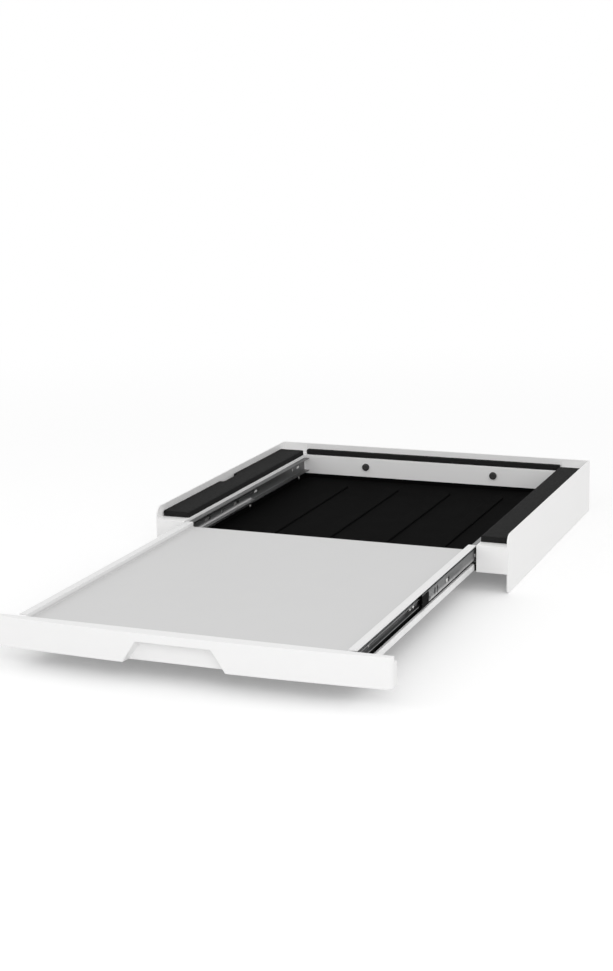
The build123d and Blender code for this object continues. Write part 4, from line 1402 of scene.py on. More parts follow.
@dataclass
class Shelf(Assembly):
    """The sliding shelf: tray, fascia, channels and trims.

    Args:
        well: the half width of the tray's floor.
        rim: the thickness of the raised rims.
        floor: the level of the tray's floor, and of its underside.
        web: the half width over the channels.
        tray_rib: the thickness of the tray's ribs.
        tray_ribs: how many ribs run along and across.
        tray_edge, trim_edge: the rounding of the tray's and of the trims' edges.
        rib_span: the half width that the ribs fill.
        bow: how far the middle of the front stands forward of its ends.
        end_radius: the rounding of the front's ends.
        front_edge: the rounding of its upper and lower edges.
        top_depth: the depth of the upper edge at its ends.
        bow_steps: the steps of the bow.
        moulding: the thickness of the front's walls.
        front_rib: the thickness of the front's ribs, and how many there are.
        back_sheet: the thickness of the sheet behind the front.
        grip: the half width of the grip at its foot and at its top, and its height.
        grip_depth: how deep the grip is.
        draft: how much the grip narrows on its way in.
        channel_sheet: the thickness of the channels.
        fold: the bend radius of their middle line.
        tab: the width of a channel's tab behind the front.
        clearance: the trim's play on the channel's flange.
        screw_hole: the radius of the screw holes.
        front_screws: the levels of the screws that hold a channel to the front.
        inner_screws: where the screws of an inner slide member stand.
        slide_level: how high they stand.
        member_sheet: the thickness of the member that they hold.
        front_screw, inner_screw: the height of a screw's head and the length below it.
    """

    well: float = 237.2
    rim: float = 2.0
    floor: Pair = (64.7, 62.2)
    web: float = 238.8
    tray_rib: float = 1.8
    tray_ribs: tuple[int, int] = (6, 6)
    tray_edge: float = 0.4
    trim_edge: float = 0.3
    rib_span: float = 213.8
    bow: float = 11.5
    end_radius: float = 9.0
    front_edge: float = 1.2
    top_depth: float = 8.5
    bow_steps: int = 36
    moulding: float = 2.5
    front_rib: tuple[float, int] = (2.0, 6)
    back_sheet: float = 1.5
    grip: Triple = (76.0, 55.5, 31.0)
    grip_depth: float = 16.0
    draft: float = 2.6
    channel_sheet: float = 1.5
    fold: float = 1.4
    tab: float = 22.0
    clearance: float = 0.2
    screw_hole: float = 2.0
    front_screws: tuple[float, ...] = (39.35, 55.35)
    inner_screws: tuple[float, ...] = (-470.11, -265.0, -59.89)
    slide_level: float = 58.0
    member_sheet: float = 1.2
    front_screw: Pair = (1.5, 5.5)
    inner_screw: Pair = (1.5, 5.2)

    def build(self) -> None:
        """Build and dress the shelf."""
        self.tray = Extent.of("shelf_tray")
        self.front = Extent.of("fascia")
        self.channel = Extent.of("side_channel_right")
        self.trim = Extent.of("edge_trim_right")
        self.dress(self.shelf_tray(), Finishes.TRAY, "shelf", "shelf_tray")
        self.dress(self.fascia(), Finishes.FASCIA, "shelf", "fascia")
        self.pair(self.side_channel(), Finishes.CHANNEL, "shelf", "side_channel")
        self.pair(self.edge_trim(), Finishes.TRIM, "shelf", "edge_trim")
        self.keep(Finishes.CHANNEL, "fascia_back")
        self.screws()
        dots = self.both(self.bumper(), "front_bumpers")
        self.dress(dots, Finishes.RUBBER, "shelf", "fascia_bumpers")

    def shelf_tray(self) -> Piece:
        """The tray: a well between two flat rims, with ribs below.

        Returns:
            The tray.
        """
        tray, well, web = self.tray, self.well, self.web
        top, under = self.floor
        right = [(web, under, 0.5), (web, tray.z1 - self.rim, 0.4),
                 (tray.x1, tray.z1 - self.rim, 0.4), (tray.x1, tray.z1, 0.8),
                 (well, tray.z1, 0.8), (well, top, 1.4)]
        left = [(-x, z, radius) for x, z, radius in right[::-1]]
        body = Bench.prism("shelf_moulding", rounded(right + left, 4), Axis.Y, tray.y0, tray.y1)
        parts = []
        half, span = self.tray_rib / 2, self.rib_span
        low, high = tray.z0, top - OVERRUN
        near, far = tray.y0 + self.tray_rib, tray.y1 - self.tray_rib
        for place in spread(-span, span, self.tray_ribs[0]):
            parts.append(Bench.block("rib", (place - half, near, low), (place + half, far, high)))
        for place in spread(near, far, self.tray_ribs[1]):
            parts.append(Bench.block("rib", (-span, place - half, low), (span, place + half, high)))
        return Bench.softened(Bench.merged(body, parts), self.tray_edge)

    def plan(self, inset: float, back: float) -> list[Spot]:
        """The front seen from above: bowed, with rounded ends.

        Args:
            inset: how far the outline is moved in.
            back: where it ends behind.

        Returns:
            The outline's points.
        """
        half, end = self.front.x1 - inset, self.front.y0 + self.bow + inset
        radius = (half * half + self.bow ** 2) / (2 * self.bow)
        reach = math.asin(half / radius)
        centre = end + radius * math.cos(reach)
        arc = [(radius * math.sin(angle), centre - radius * math.cos(angle), 0.0)
               for angle in spread(-reach, reach, self.bow_steps + 1)]
        ends = [(*arc[0][:2], self.end_radius - inset), (*arc[-1][:2], self.end_radius - inset)]
        return rounded([ends[0], *arc[2:-2], ends[1], (half, back, 0.0), (-half, back, 0.0)], 8)

    def fascia_form(self, inset: float, back: float) -> Piece:
        """The front moved in by an inset."""
        return Bench.prism("shelf_front", self.plan(inset, back), Axis.Z, self.front.z0 + inset,
                           self.front.z1 - inset)

    def step_room(self, inset: float) -> Piece:
        """The space of the step behind the front's upper edge."""
        front, behind = self.front, self.front.y0 + self.bow + self.top_depth - inset
        return Bench.block("step", (front.x0 - OVERRUN, behind, self.floor[0] - inset),
                           (front.x1 + OVERRUN, front.y1 + 2 * OVERRUN, front.z1 + OVERRUN))

    def pocket(self, spare: float) -> Piece:
        """The grip's space, narrower on its way in.

        Args:
            spare: how much it is grown all round.

        Returns:
            The space.
        """
        front, (foot, top, height) = self.front, self.grip
        slope = (foot - top) / height
        low, high = front.z0 - OVERRUN, front.z0 + height + spare
        foot, top = foot + slope * OVERRUN + spare, foot - slope * (height + spare) + spare
        outline = [(-foot, low), (foot, low), (top, high), (-top, high)]
        deep = front.y0 + self.grip_depth + spare
        tool = Bench.prism("pocket", outline, Axis.Y, front.y0 - OVERRUN, deep)
        with Bench.editing(tool, lambda middle, normal: normal.y > 0.9):
            bpy.ops.transform.resize(value=(1 - self.draft / foot, 1.0, 1 - self.draft / height),
                                     center_override=(0.0, deep * MM, low * MM))
        return tool

    def fascia(self) -> Piece:
        """The hollow, bow-fronted front with its grip.

        Returns:
            The front.
        """
        front = self.front
        body = Bench.cut(self.fascia_form(0.0, front.y1), self.pocket(0.0))
        Bench.softened(body, self.front_edge, 3, clamp=False)
        Bench.cut(body, self.step_room(0.0))
        room = Bench.cut(self.fascia_form(self.moulding, front.y1 + OVERRUN),
                         self.step_room(self.moulding), self.pocket(self.moulding))
        thick, count = self.front_rib
        step = (front.x1 - front.x0) / (count + 1)
        ribs = [Bench.block("rib", (place - thick / 2, front.y0, front.z0),
                            (place + thick / 2, front.y1 - self.back_sheet, self.floor[0]))
                for place in spread(front.x0 + step, front.x1 - step, count)]
        return Bench.cut(body, Bench.cut(room, *ribs))

    def side_channel(self) -> Piece:
        """The right-hand channel, bent from one sheet, with its tab behind the front.

        Returns:
            The channel.
        """
        size, sheet = self.channel, self.channel_sheet
        half, inner = sheet / 2, self.web - sheet / 2
        corners = [(size.x0, size.z1 - half, 0), (inner, size.z1 - half, self.fold),
                   (inner, size.z0 + half, self.fold), (size.x1, size.z0 + half, 0)]
        body = Bench.prism("shelf_channel_right", sheet_section(corners, sheet), Axis.Y,
                           size.y0, size.y1)
        Bench.merged(body, [Bench.block("tab", (self.web - self.tab, size.y0, size.z0),
                                        (self.web - half, size.y0 + sheet, size.z1 - half))])
        holes = [circle((place, self.slide_level), self.screw_hole) for place in self.inner_screws]
        Bench.punched(body, Axis.X, self.web - sheet - OVERRUN, self.web + OVERRUN, *holes)
        middle = self.web - self.tab / 2
        holes = [circle((middle, level), self.screw_hole) for level in self.front_screws]
        return Bench.punched(body, Axis.Y, size.y0 - OVERRUN, size.y0 + sheet + OVERRUN, *holes)

    def edge_trim(self) -> Piece:
        """The right-hand white rail, clipped over the channel's lower flange.

        Returns:
            The rail.
        """
        size, flange = self.trim, self.channel.x1 + self.clearance
        slot = self.channel.z0 + self.channel_sheet + self.clearance
        section = rounded([(size.x0, slot, 0.3), (flange, slot, 0.2), (flange, size.z0, 0.3),
                           (size.x1, size.z0, 0.9), (size.x1, size.z1, 1.6),
                           (size.x0, size.z1, 1.0)], 5)
        rail = Bench.prism("shelf_rail_right", section, Axis.Y, size.y0, size.y1)
        return Bench.softened(rail, self.trim_edge)

    def screws(self) -> None:
        """Drive the screws of the inner slides and of the front."""
        seats = [(self.web + self.member_sheet, place, self.slide_level)
                 for place in self.inner_screws]
        self.drive("channel_screws", "shelf", "inner_slide_screws", Axis.X, seats, self.inner_screw)
        place, face = self.web - self.tab / 2, self.front.y1 + self.channel_sheet
        seats = [(place, face, level) for level in self.front_screws]
        self.drive("front_screws", "shelf", "fascia_screws", Axis.Y, seats, self.front_screw)

    def bumper(self) -> Piece:
        """One rubber dot on the front's back.

        Returns:
            The dot.
        """
        size = Extent.of("fascia_bumpers")
        radius, height = (size.z1 - size.z0) / 2, size.y1 - size.y0
        seat = (size.x1 - radius, size.y0, size.middle.z)
        return Bench.domed("dot", Axis.Y, seat, radius, height, (0.97, 0.5), (0.8, 0.85),
                           (0.5, 1), (0, 1), steps=32)


@dataclass
class Slides(Assembly):
    """The ball-bearing slides on both sides.

    Args:
        sheet: the thickness of the members' steel.
        level: the height of the slides' middle line.
        bend: the bend radius of their middle line.
        outer, mid, inner: where a member's flanges end and where its web runs, across the slide.
        race: the depth of the rolled ball races.
        race_reach: the half width of a race at its foot and at its top.
        outer_race, inner_race: where the races run, across the slide.
        soft: the bend radius of the races and of the shoulder.
        buffer_edge, lever_edge: the rounding of the buffers' and of the levers' edges.
        shoulder: the depth and the height of the mid member's lower shoulder.
        outer_screws, inner_screws: the screw places of the outer and of the inner member.
        outer_hole, inner_hole, mid_hole, lever_hole: the radius of the round holes.
        outer_slot, inner_slot: a slot's distance from its screw, its length and its width.
        mid_slot: the length and the width of the mid member's slots.
        mid_holes, mid_slots: where its round holes and its slots are.
        small_slot: the corners of its small upright slot.
        slot_corner: the radius of that slot's corners.
        button: the middle of its pressed button.
        crescent: the slots round the button: outer radius, inner radius and sweep in degrees.
        pad: the front and rear end of the black pad on its web.
        pad_size: the pad's half height and the radius of its corners.
        pad_faces: the pad's two faces, across the slide.
        knob: how far the pad's knob is from its rear end, and how far below the middle line.
        lever: the pivot of the release lever.
        lever_ribs: where its first and last thumb rib start, from its front end.
        lever_rib: a rib's width and half height.
        lever_faces: where the ribs start and end, across the slide.
        domes: the bright domes, each with its body, its place, its foot, its radius and its height.
    """

    sheet: float = 1.2
    level: float = 58.0
    bend: float = 1.2
    outer: Pair = (240.0, 250.9)
    mid: Pair = (239.5, 248.3)
    inner: Pair = (245.9, 239.4)
    race: float = 0.3
    race_reach: Pair = (1.3, 0.5)
    outer_race: float = 245.3
    inner_race: float = 242.3
    soft: Pair = (0.8, 0.75)
    buffer_edge: float = 0.2
    lever_edge: float = 0.35
    shoulder: Pair = (0.9, 2.8)
    outer_screws: tuple[float, ...] = (59.89, 265.0, 470.11)
    inner_screws: tuple[float, ...] = (-470.11, -265.0, -59.89)
    outer_hole: float = 3.45
    inner_hole: float = 2.0
    mid_hole: float = 4.4
    lever_hole: float = 1.55
    outer_slot: Triple = (28.0, 16.0, 5.0)
    inner_slot: Triple = (22.0, 22.0, 3.0)
    mid_slot: Pair = (22.0, 6.0)
    mid_holes: tuple[float, ...] = (-139.0, 0.0, 139.0)
    mid_slots: tuple[float, ...] = (79.0, 199.0)
    small_slot: tuple[Spot, Spot] = ((-233.0, 51.5), (-228.5, 57.5))
    slot_corner: float = 1.2
    button: float = -201.0
    crescent: Triple = (9.2, 5.0, 92.0)
    pad: Pair = (-267.5, -237.0)
    pad_size: Pair = (8.9, 1.6)
    pad_faces: Pair = (248.92, 249.6)
    knob: Pair = (5.0, 4.0)
    lever: float = -291.0
    lever_ribs: Pair = (3.5, 9.5)
    lever_rib: Pair = (0.7, 1.9)
    lever_faces: Pair = (242.5, 243.4)
    domes: tuple[tuple, ...] = (("stop_dome", "slide_mid", -148.0, 248.8, 3.4, 0.95),
                                ("lever_tip", "lever", -305.0, 242.9, 1.9, 1.0))

    def build(self) -> None:
        """Build and dress both slides."""
        self.pair(self.outer_member(), Finishes.SLIDE, "frame", "slide_outer")
        self.pair(self.mid_member(), Finishes.RACE, "slide_mid", "slide_mid")
        self.pair(self.inner_member(), Finishes.SLIDE, "shelf", "slide_inner")
        self.pair(self.buffer(), Finishes.BLACK, "slide_mid", "mid_buffer")
        self.pair(self.release_lever(), Finishes.LEVER, "lever", "release_lever")
        self.pair(self.rivet(), Finishes.SCREW, "shelf", "lever_rivet")
        for side in Side:
            self.keep(Finishes.CAGE, f"outer_cage_{side.tag}", f"inner_cage_{side.tag}")
            self.keep(Finishes.BALL, f"outer_balls_{side.tag}", f"inner_balls_{side.tag}")
        self.press_domes()

    def member(self, name: str, node: str, across: Pair, holes: Sequence[Sequence[Spot]],
               *races: Pair, shoulder: Pair = (0.0, 0.0)) -> Piece:
        """One rolled member: a channel with ball races in its flanges and holes in its web.

        Args:
            name: the piece's name.
            node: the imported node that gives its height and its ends.
            across: where its flanges end and the middle line of its web.
            holes: the outlines of the holes.
            races: the middle of each race and how far it is pressed out.
            shoulder: the depth and the height of the slope below its web.

        Returns:
            The member.
        """
        size, (tip, back), (soft, softer) = Extent.of(node), across, self.soft
        flange = (size.z1 - size.z0 - self.sheet) / 2
        foot, top = self.race_reach
        half = [(tip, flange, 0.0)]
        for middle, rise in races:
            half += [(middle - foot, flange, soft), (middle - top, flange + rise, soft),
                     (middle + top, flange + rise, soft), (middle + foot, flange, soft)]
        if tip > back:
            half = half[:1] + half[:0:-1]
        deep, high = shoulder
        upper = lower = [(back, flange, self.bend)]
        if high:
            lower = [(back, flange - high, soft), (back - deep, flange, softer)]
        corners = [(x, self.level + z, radius) for x, z, radius in half + upper]
        corners += [(x, self.level - z, radius) for x, z, radius in lower + half[::-1]]
        body = Bench.prism(name, sheet_section(corners, self.sheet, 3), Axis.Y, size.y0, size.y1)
        return Bench.punched(body, Axis.X, back - 2 * OVERRUN, back + 2 * OVERRUN, *holes)

    def screw_row(self, screws: Sequence[float], radius: float, slot: Triple) -> list[list[Spot]]:
        """The holes of a member's screws, each with a slot behind it.

        Args:
            screws: where the screws are.
            radius: the radius of their holes.
            slot: a slot's distance from its screw, its length and its width.

        Returns:
            The outlines.
        """
        away, length, width = slot
        holes = [circle((place, self.level), radius) for place in screws]
        return holes + [stadium((place + away, self.level), length, width) for place in screws]

    def outer_member(self) -> Piece:
        """The member screwed to the beam."""
        return self.member("beam_member_right", "slide_outer_right", self.outer,
                           self.screw_row(self.outer_screws, self.outer_hole, self.outer_slot),
                           (self.outer_race, self.race))

    def mid_member(self) -> Piece:
        """The telescoping member, with its holes, slots and the pressed button near its front.

        Returns:
            The member.
        """
        outer, inner, sweep = self.crescent
        holes = [circle((place, self.level), self.mid_hole) for place in self.mid_holes]
        holes += [stadium((place, self.level), *self.mid_slot) for place in self.mid_slots]
        holes += [crescent((self.button, self.level), outer, inner,
                           math.radians(middle - sweep / 2), math.radians(sweep))
                  for middle in (0, 180)]
        holes += [rectangle(*self.small_slot, self.slot_corner)]
        body = self.member("mid_member_right", "slide_mid_right", self.mid, holes,
                           (self.inner_race, self.race), (self.outer_race, -self.race),
                           shoulder=self.shoulder)
        profile = [(0.0, 0.5), (2.6, 0.5), (3.6, 0.3), (4.3, -0.1), (4.3, -0.4), (0.0, -0.4)]
        seat = (self.mid[1] + self.sheet / 2, self.button, self.level)
        return Bench.merged(body, [Bench.turned("button", profile, Axis.X, seat, 28)])

    def inner_member(self) -> Piece:
        """The member that carries the shelf."""
        holes = self.screw_row(self.inner_screws, self.inner_hole, self.inner_slot)
        return self.member("shelf_member_right", "slide_inner_right", self.inner,
                           [*holes, circle((self.lever, self.level), self.lever_hole)],
                           (self.inner_race, -self.race))

    def buffer(self) -> Piece:
        """The black buffer that wraps the mid member's front end.

        Returns:
            The buffer.
        """
        body = Bench.traced("mid_buffer_right", "slide_buffer_right")
        Bench.softened(body, self.buffer_edge)
        (near, far), (half, corner) = self.pad, self.pad_size
        outline = rectangle((near, self.level - half), (far, self.level + half), corner)
        pad = Bench.softened(Bench.prism("pad", outline, Axis.X, *self.pad_faces), self.buffer_edge)
        profile = [(0.0, 0.7), (1.2, 0.7), (2.0, 0.3), (2.1, 0.0), (0.0, 0.0)]
        away, drop = self.knob
        seat = (self.pad_faces[1] - self.buffer_edge, far - away, self.level - drop)
        return Bench.merged(body, [pad, Bench.turned("knob", profile, Axis.X, seat, 20)])

    def release_lever(self) -> Piece:
        """The release lever, its thumb end ribbed.

        Returns:
            The lever.
        """
        lever = Bench.traced("release_lever_right", "thumb_lever_right")
        Bench.softened(lever, self.lever_edge)
        front = Extent.of("release_lever_right").y0
        (width, half), (near, far) = self.lever_rib, self.lever_faces
        first, last = self.lever_ribs
        low, high = self.level - half, self.level + half
        ribs = [Bench.block("rib", (near, place, low), (far, place + width, high))
                for place in spread(front + first, front + last, 5)]
        return Bench.merged(lever, ribs)

    def rivet(self) -> Piece:
        """The lever's rivet, from the member's web to its domed head.

        Returns:
            The rivet.
        """
        size = Extent.of("lever_rivet_right")
        reach, head, shank = size.x1 - size.x0, (size.z1 - size.z0) / 2, self.lever_hole - 0.1
        profile = [(0.0, 0.0), (shank, 0.0), (shank, reach - 0.8), (head, reach - 0.8),
                   (head * 0.9, reach - 0.35), (head * 0.6, reach - 0.05), (0.0, reach)]
        seat = (size.x0, self.lever, self.level)
        return Bench.turned("lever_pin_right", profile, Axis.X, seat, 28)

    def press_domes(self) -> None:
        """Press the bright domes: a stop on each mid member and a tip on each lever."""
        for name, body, place, foot, radius, height in self.domes:
            right = Bench.domed(f"{name}_right", Axis.X, (foot, place, self.level), radius, height,
                                (0.96, 0.4), (0.78, 0.75), (0.45, 0.97), (0, 1))
            left = Bench.copied(right, f"{name}_left", mirror=True)
            for side, piece in ((Side.RIGHT, right), (Side.LEFT, left)):
                self.dress(piece, Finishes.SCREW, f"{body}_{side.tag}")


@dataclass
class Ratchet(Assembly):
    """The ratchet tensioner and the strap put away beside it.

    Args:
        roll: the middle of the rolled strap's first half turn.
        core: the radius of that half turn.
        pitch: how much the radius grows each half turn.
        half_turns: how many half turns there are.
        step: the length of one step along the strap.
        stray: how far the rolled strap's edge stands off its level.
        width: the strap's width, and the level of its lower edge.
        thickness: its thickness.
        bolt: the middle of the bolt that the strap's eye goes round.
        eye: the radius of the eye's middle line.
        flap: the length of the sewn end.
        stitch: the length and width of one stitch.
        strap_edge, stitch_edge, tie_edge: the rounding of the edges.
        stitch_gap: the gap between two stitches.
        stitch_depth: how deep a stitch sits in the strap, and how far it stands out.
        box: how far the sewn box is from the eye, from the strap's end and from its edges.
        tie_width, tie_sheet: the width and the thickness of the ties.
        tie_inset: how far a tie's inner side is from the middle of the roll.
        tie_corners: the outer and inner radius of its corners.
        tie_tab: where a tie's loose end starts and ends above the floor.
        tab_faces: how far that end reaches into the tie, and how far it stands out.
        tab_inset: how much narrower it is on each side.
        socket: the radius and the depth of the bolt's socket.
        bolt_edge: the bevel of the bolt's ends.
        traced: the pieces cut from solid steel: node, name, body and softening.
        cover_wall: the walls of the cover.
        cover_edge, cover_end: the rounding of its edges and of its ends.
        panel: how far the sunk panel is from the cover's ends, its open side and its grip side.
        panel_corner, panel_depth: the radius of its corners, and how deep it is.
        grooves: how many grooves the grip has.
        groove: a groove's width, its depth and the radius of its corners.
        groove_ends: where the first and last groove start, from the cover's end.
        groove_levels: the level where they start, and how far below the cover's top they end.
    """

    roll: Spot = (125.0, 0.0)
    core: float = 14.0
    pitch: float = 1.3
    half_turns: int = 39
    step: float = 6.0
    stray: float = 0.27
    width: Pair = (50.0, 2.3)
    thickness: float = 2.0
    bolt: Spot = (-60.0, 567.8)
    eye: float = 6.1
    flap: float = 34.0
    stitch: Pair = (2.6, 0.8)
    strap_edge: float = 0.45
    stitch_edge: float = 0.3
    tie_edge: float = 0.5
    stitch_gap: float = 1.2
    stitch_depth: Pair = (0.2, 0.35)
    box: Triple = (6.0, 4.0, 5.0)
    tie_width: float = 10.0
    tie_sheet: float = 2.0
    tie_inset: float = 9.7
    tie_corners: Pair = (3.2, 1.4)
    tie_tab: Pair = (12.0, 41.0)
    tab_faces: Pair = (0.4, 1.3)
    tab_inset: float = 0.2
    socket: Pair = (2.6, 2.0)
    bolt_edge: float = 0.6
    traced: tuple[tuple, ...] = (("ratchet_frame", "tensioner_frame", "frame", 0.35),
                                 ("ratchet_spool", "tensioner_spool", "ratchet_spool", 0.2),
                                 ("ratchet_handle", "tensioner_handle", "ratchet_handle", 0.35),
                                 ("drive_pawl", "driving_pawl", "drive_pawl", 0.3),
                                 ("lock_pawl", "locking_pawl", "lock_pawl", 0.3))
    cover_wall: float = 2.0
    cover_edge: float = 1.6
    cover_end: float = 15.0
    panel: Triple = (16.0, 7.0, 6.0)
    panel_corner: float = 4.0
    panel_depth: float = 0.5
    grooves: int = 9
    groove: Triple = (2.2, 0.7, 0.5)
    groove_ends: Pair = (68.0, 22.0)
    groove_levels: Pair = (7.0, 6.7)

    def build(self) -> None:
        """Build and dress the strap, its ties and the ratchet."""
        self.tail = self.bolt[1] - self.eye
        self.roll = (self.roll[0], self.tail + self.core + self.pitch * (self.half_turns - 1))
        strap = self.dress(self.strap(), Finishes.WEBBING, "frame", "strap_roll")
        self.stitching()
        self.dress(self.ties(), Finishes.TIE, "frame", "strap_ties")
        for node, name, body, soft in self.traced:
            self.dress(Bench.softened(Bench.traced(node, name), soft), Finishes.RATCHET, body, node)
        self.dress(self.strap_bolt(), Finishes.RATCHET, "frame", "ratchet_bolt")
        self.dress(self.cover(), Finishes.COVER, "ratchet_handle", "ratchet_cover")

    def route(self) -> list[tuple[Vector, float]]:
        """The strap's middle line, from the roll's core to the sewn end.

        Returns:
            The points, each with how far the strap's edge stands off its level there.
        """
        points: list[tuple[Vector, float]] = []
        middle, side = self.roll[1], -1
        for turn in range(self.half_turns):
            radius = self.core + self.pitch * turn
            steps = max(12, round(math.pi * radius / self.step))
            for index in range(steps):
                angle = math.pi * index / steps
                spot = Vector((self.roll[0] - side * radius * math.sin(angle),
                               middle - side * radius * math.cos(angle)))
                sway = (math.sin(len(points) * 0.113) + math.sin(len(points) * 0.047)) / 2
                points.append((spot, self.stray * sway))
            side = -side
            middle += side * self.pitch
        count = round((self.roll[0] - self.bolt[0]) / self.step)
        for place in spread(self.roll[0], self.bolt[0], count):
            points.append((Vector((place, self.tail)), 0.0))
        for angle in spread(0.0, math.pi, 14)[1:]:
            points.append((Vector((self.bolt[0] - self.eye * math.sin(angle),
                                   self.bolt[1] - self.eye * math.cos(angle))), 0.0))
        for place in spread(0.0, self.flap, 8)[1:]:
            points.append((Vector((self.bolt[0] + place, self.bolt[1] + self.eye)), 0.0))
        return points

    def strap(self) -> Piece:
        """The webbing strap: a grid laid along its route, thickened, its edges rounded.

        Returns:
            The strap, with its map in metres.
        """
        route, rows = self.route(), 9
        Bench.rest()
        bpy.ops.mesh.primitive_grid_add(x_subdivisions=len(route) - 1, y_subdivisions=rows - 1,
                                        size=2)
        strap = Bench.settle("safety_strap")
        travelled = [0.0]
        for (before, _), (after, _) in zip(route, route[1:]):
            travelled.append(travelled[-1] + (after - before).length * MM)
        mesh, (width, low) = strap.data, self.width
        cells = [(round((vertex.co.x + 1) / 2 * (len(route) - 1)), (vertex.co.y + 1) / 2)
                 for vertex in mesh.vertices]
        for vertex, (index, share) in zip(mesh.vertices, cells):
            spot, stray = route[index]
            vertex.co = Axis.Z.place((spot.x, spot.y), low + width * share + stray)
        chart = mesh.uv_layers["UVMap"].data
        for loop in mesh.loops:
            index, share = cells[loop.vertex_index]
            chart[loop.index].uv = (travelled[index], share * width * MM)
        with Bench.editing(strap):
            bpy.ops.mesh.normals_make_consistent(inside=False)
        Bench.modified(strap, "SOLIDIFY", thickness=self.thickness * MM, offset=0.0,
                       use_even_offset=True)
        return Bench.modified(strap, "BEVEL", width=self.strap_edge * MM, segments=2,
                              limit_method="ANGLE", angle_limit=math.radians(60))

    def stitching(self) -> Piece:
        """The sewn box and cross that close the eye.

        Returns:
            The stitches, as one piece.
        """
        length, thick = self.stitch
        face = self.bolt[1] + self.eye + self.thickness / 2
        near, far, edge = self.box
        x0, x1 = self.bolt[0] + near, self.bolt[0] + self.flap - far
        z0, z1 = self.width[1] + edge, self.width[1] + self.width[0] - edge
        deep, out = self.stitch_depth
        one = Bench.block("stitch", (-length / 2, face - deep, -thick / 2),
                          (length / 2, face + out, thick / 2))
        Bench.softened(one, self.stitch_edge, 1)
        corners = [Vector(spot) for spot in ((x0, z0), (x1, z0), (x1, z1), (x0, z1))]
        stitches = []
        for first, last in ((0, 1), (1, 2), (2, 3), (3, 0), (0, 2), (1, 3)):
            start, run = corners[first], corners[last] - corners[first]
            count = max(2, round(run.length / (length + self.stitch_gap)))
            for index in range(count):
                spot = start + run * (index + 0.5) / count
                piece = Bench.copied(one, "stitch")
                piece.rotation_euler.y = -math.atan2(run.y, run.x)
                piece.location = Axis.Y.place((spot.x, spot.y), 0.0)
                stitches.append(Bench.settle("stitch"))
        bpy.data.objects.remove(one)
        return self.dress(Bench.joined(stitches, "strap_stitching"), Finishes.THREAD, "frame")

    def ties(self) -> Piece:
        """The two hook-and-loop ties round the roll, each with its overlapping end.

        Returns:
            Both ties, as one piece.
        """
        size, sheet = Extent.of("strap_ties"), self.tie_sheet
        x, y = self.roll[0], size.middle.y
        inner, (low, high) = x + self.tie_inset, self.tie_tab
        near, far = y - self.tie_width / 2, y + self.tie_width / 2
        outer_corner, inner_corner = self.tie_corners
        outline = rectangle((inner, size.z0), (size.x1, size.z1), outer_corner)
        ring = Bench.prism("tie", outline, Axis.Y, near, far)
        hollow = rectangle((inner + sheet, size.z0 + sheet), (size.x1 - sheet, size.z1 - sheet),
                           inner_corner)
        Bench.punched(ring, Axis.Y, near - OVERRUN, far + OVERRUN, hollow)
        deep, out = self.tab_faces
        tab = Bench.block("tab", (size.x1 - deep, near + self.tab_inset, low),
                          (size.x1 + out, far - self.tab_inset, high))
        Bench.softened(Bench.merged(ring, [tab]), self.tie_edge)
        other = Bench.copied(ring, "tie", (2 * x, 0, 0), mirror=True)
        return Bench.joined([ring, other], "roll_ties")

    def strap_bolt(self) -> Piece:
        """The bolt through the strap's eye, with a socket in its end.

        Returns:
            The bolt.
        """
        size, edge, (hollow, deep) = Extent.of("ratchet_bolt"), self.bolt_edge, self.socket
        radius, top = (size.x1 - size.x0) / 2, size.z1
        profile = [(0.0, 0.0), (radius - edge, 0.0), (radius, edge), (radius, top - edge),
                   (radius - edge, top), (0.0, top)]
        middle = (size.middle.x, size.middle.y, 0.0)
        bolt = Bench.turned("strap_bolt", profile, Axis.Z, middle, 40)
        return Bench.punched(bolt, Axis.Z, top - deep, top + OVERRUN, circle(middle[:2], hollow, 6))

    def cover(self) -> Piece:
        """The white cover over the ratchet's handle, grooved for the hand.

        Returns:
            The cover.
        """
        size, wall = Extent.of("ratchet_cover"), self.cover_wall
        body = self.cover_form("handle_cover", size.low, size.high, self.cover_end)
        Bench.softened(body, self.cover_edge, 3, 50.0)
        end, back, front = self.panel
        panel = rectangle((size.x0 + end, size.y0 + back), (size.x1 - end, size.y1 - front),
                          self.panel_corner)
        for face in (size.z0, size.z1):
            Bench.punched(body, Axis.Z, face - self.panel_depth, face + self.panel_depth, panel)
        (width, depth, corner), (first, last) = self.groove, self.groove_ends
        deep, out = size.y1 - depth, size.y1 + OVERRUN
        grooves = [rectangle((place, deep), (place + width, out), corner, 3)
                   for place in spread(size.x1 - first, size.x1 - last, self.grooves)]
        low, high = self.groove_levels
        Bench.punched(body, Axis.Z, low, size.z1 - high, *grooves)
        low = (size.x0 + wall, size.y0 - OVERRUN, size.z0 + wall)
        high = (size.x1 - wall, size.y1 - wall, size.z1 - wall)
        return Bench.cut(body, self.cover_form("room", low, high, self.cover_end - wall))

    def cover_form(self, name: str, low: Triple, high: Triple, radius: float) -> Piece:
        """A block with its two grip-side corners rounded.

        Args:
            name: the object's name.
            low: its lowest corner.
            high: its highest corner.
            radius: the radius of the two corners.

        Returns:
            The form.
        """
        (x0, y0, z0), (x1, y1, z1) = low, high
        outline = rounded([(x0, y0, 0), (x1, y0, 0), (x1, y1, radius), (x0, y1, radius)], 12)
        return Bench.prism(name, outline, Axis.Z, z0, z1)


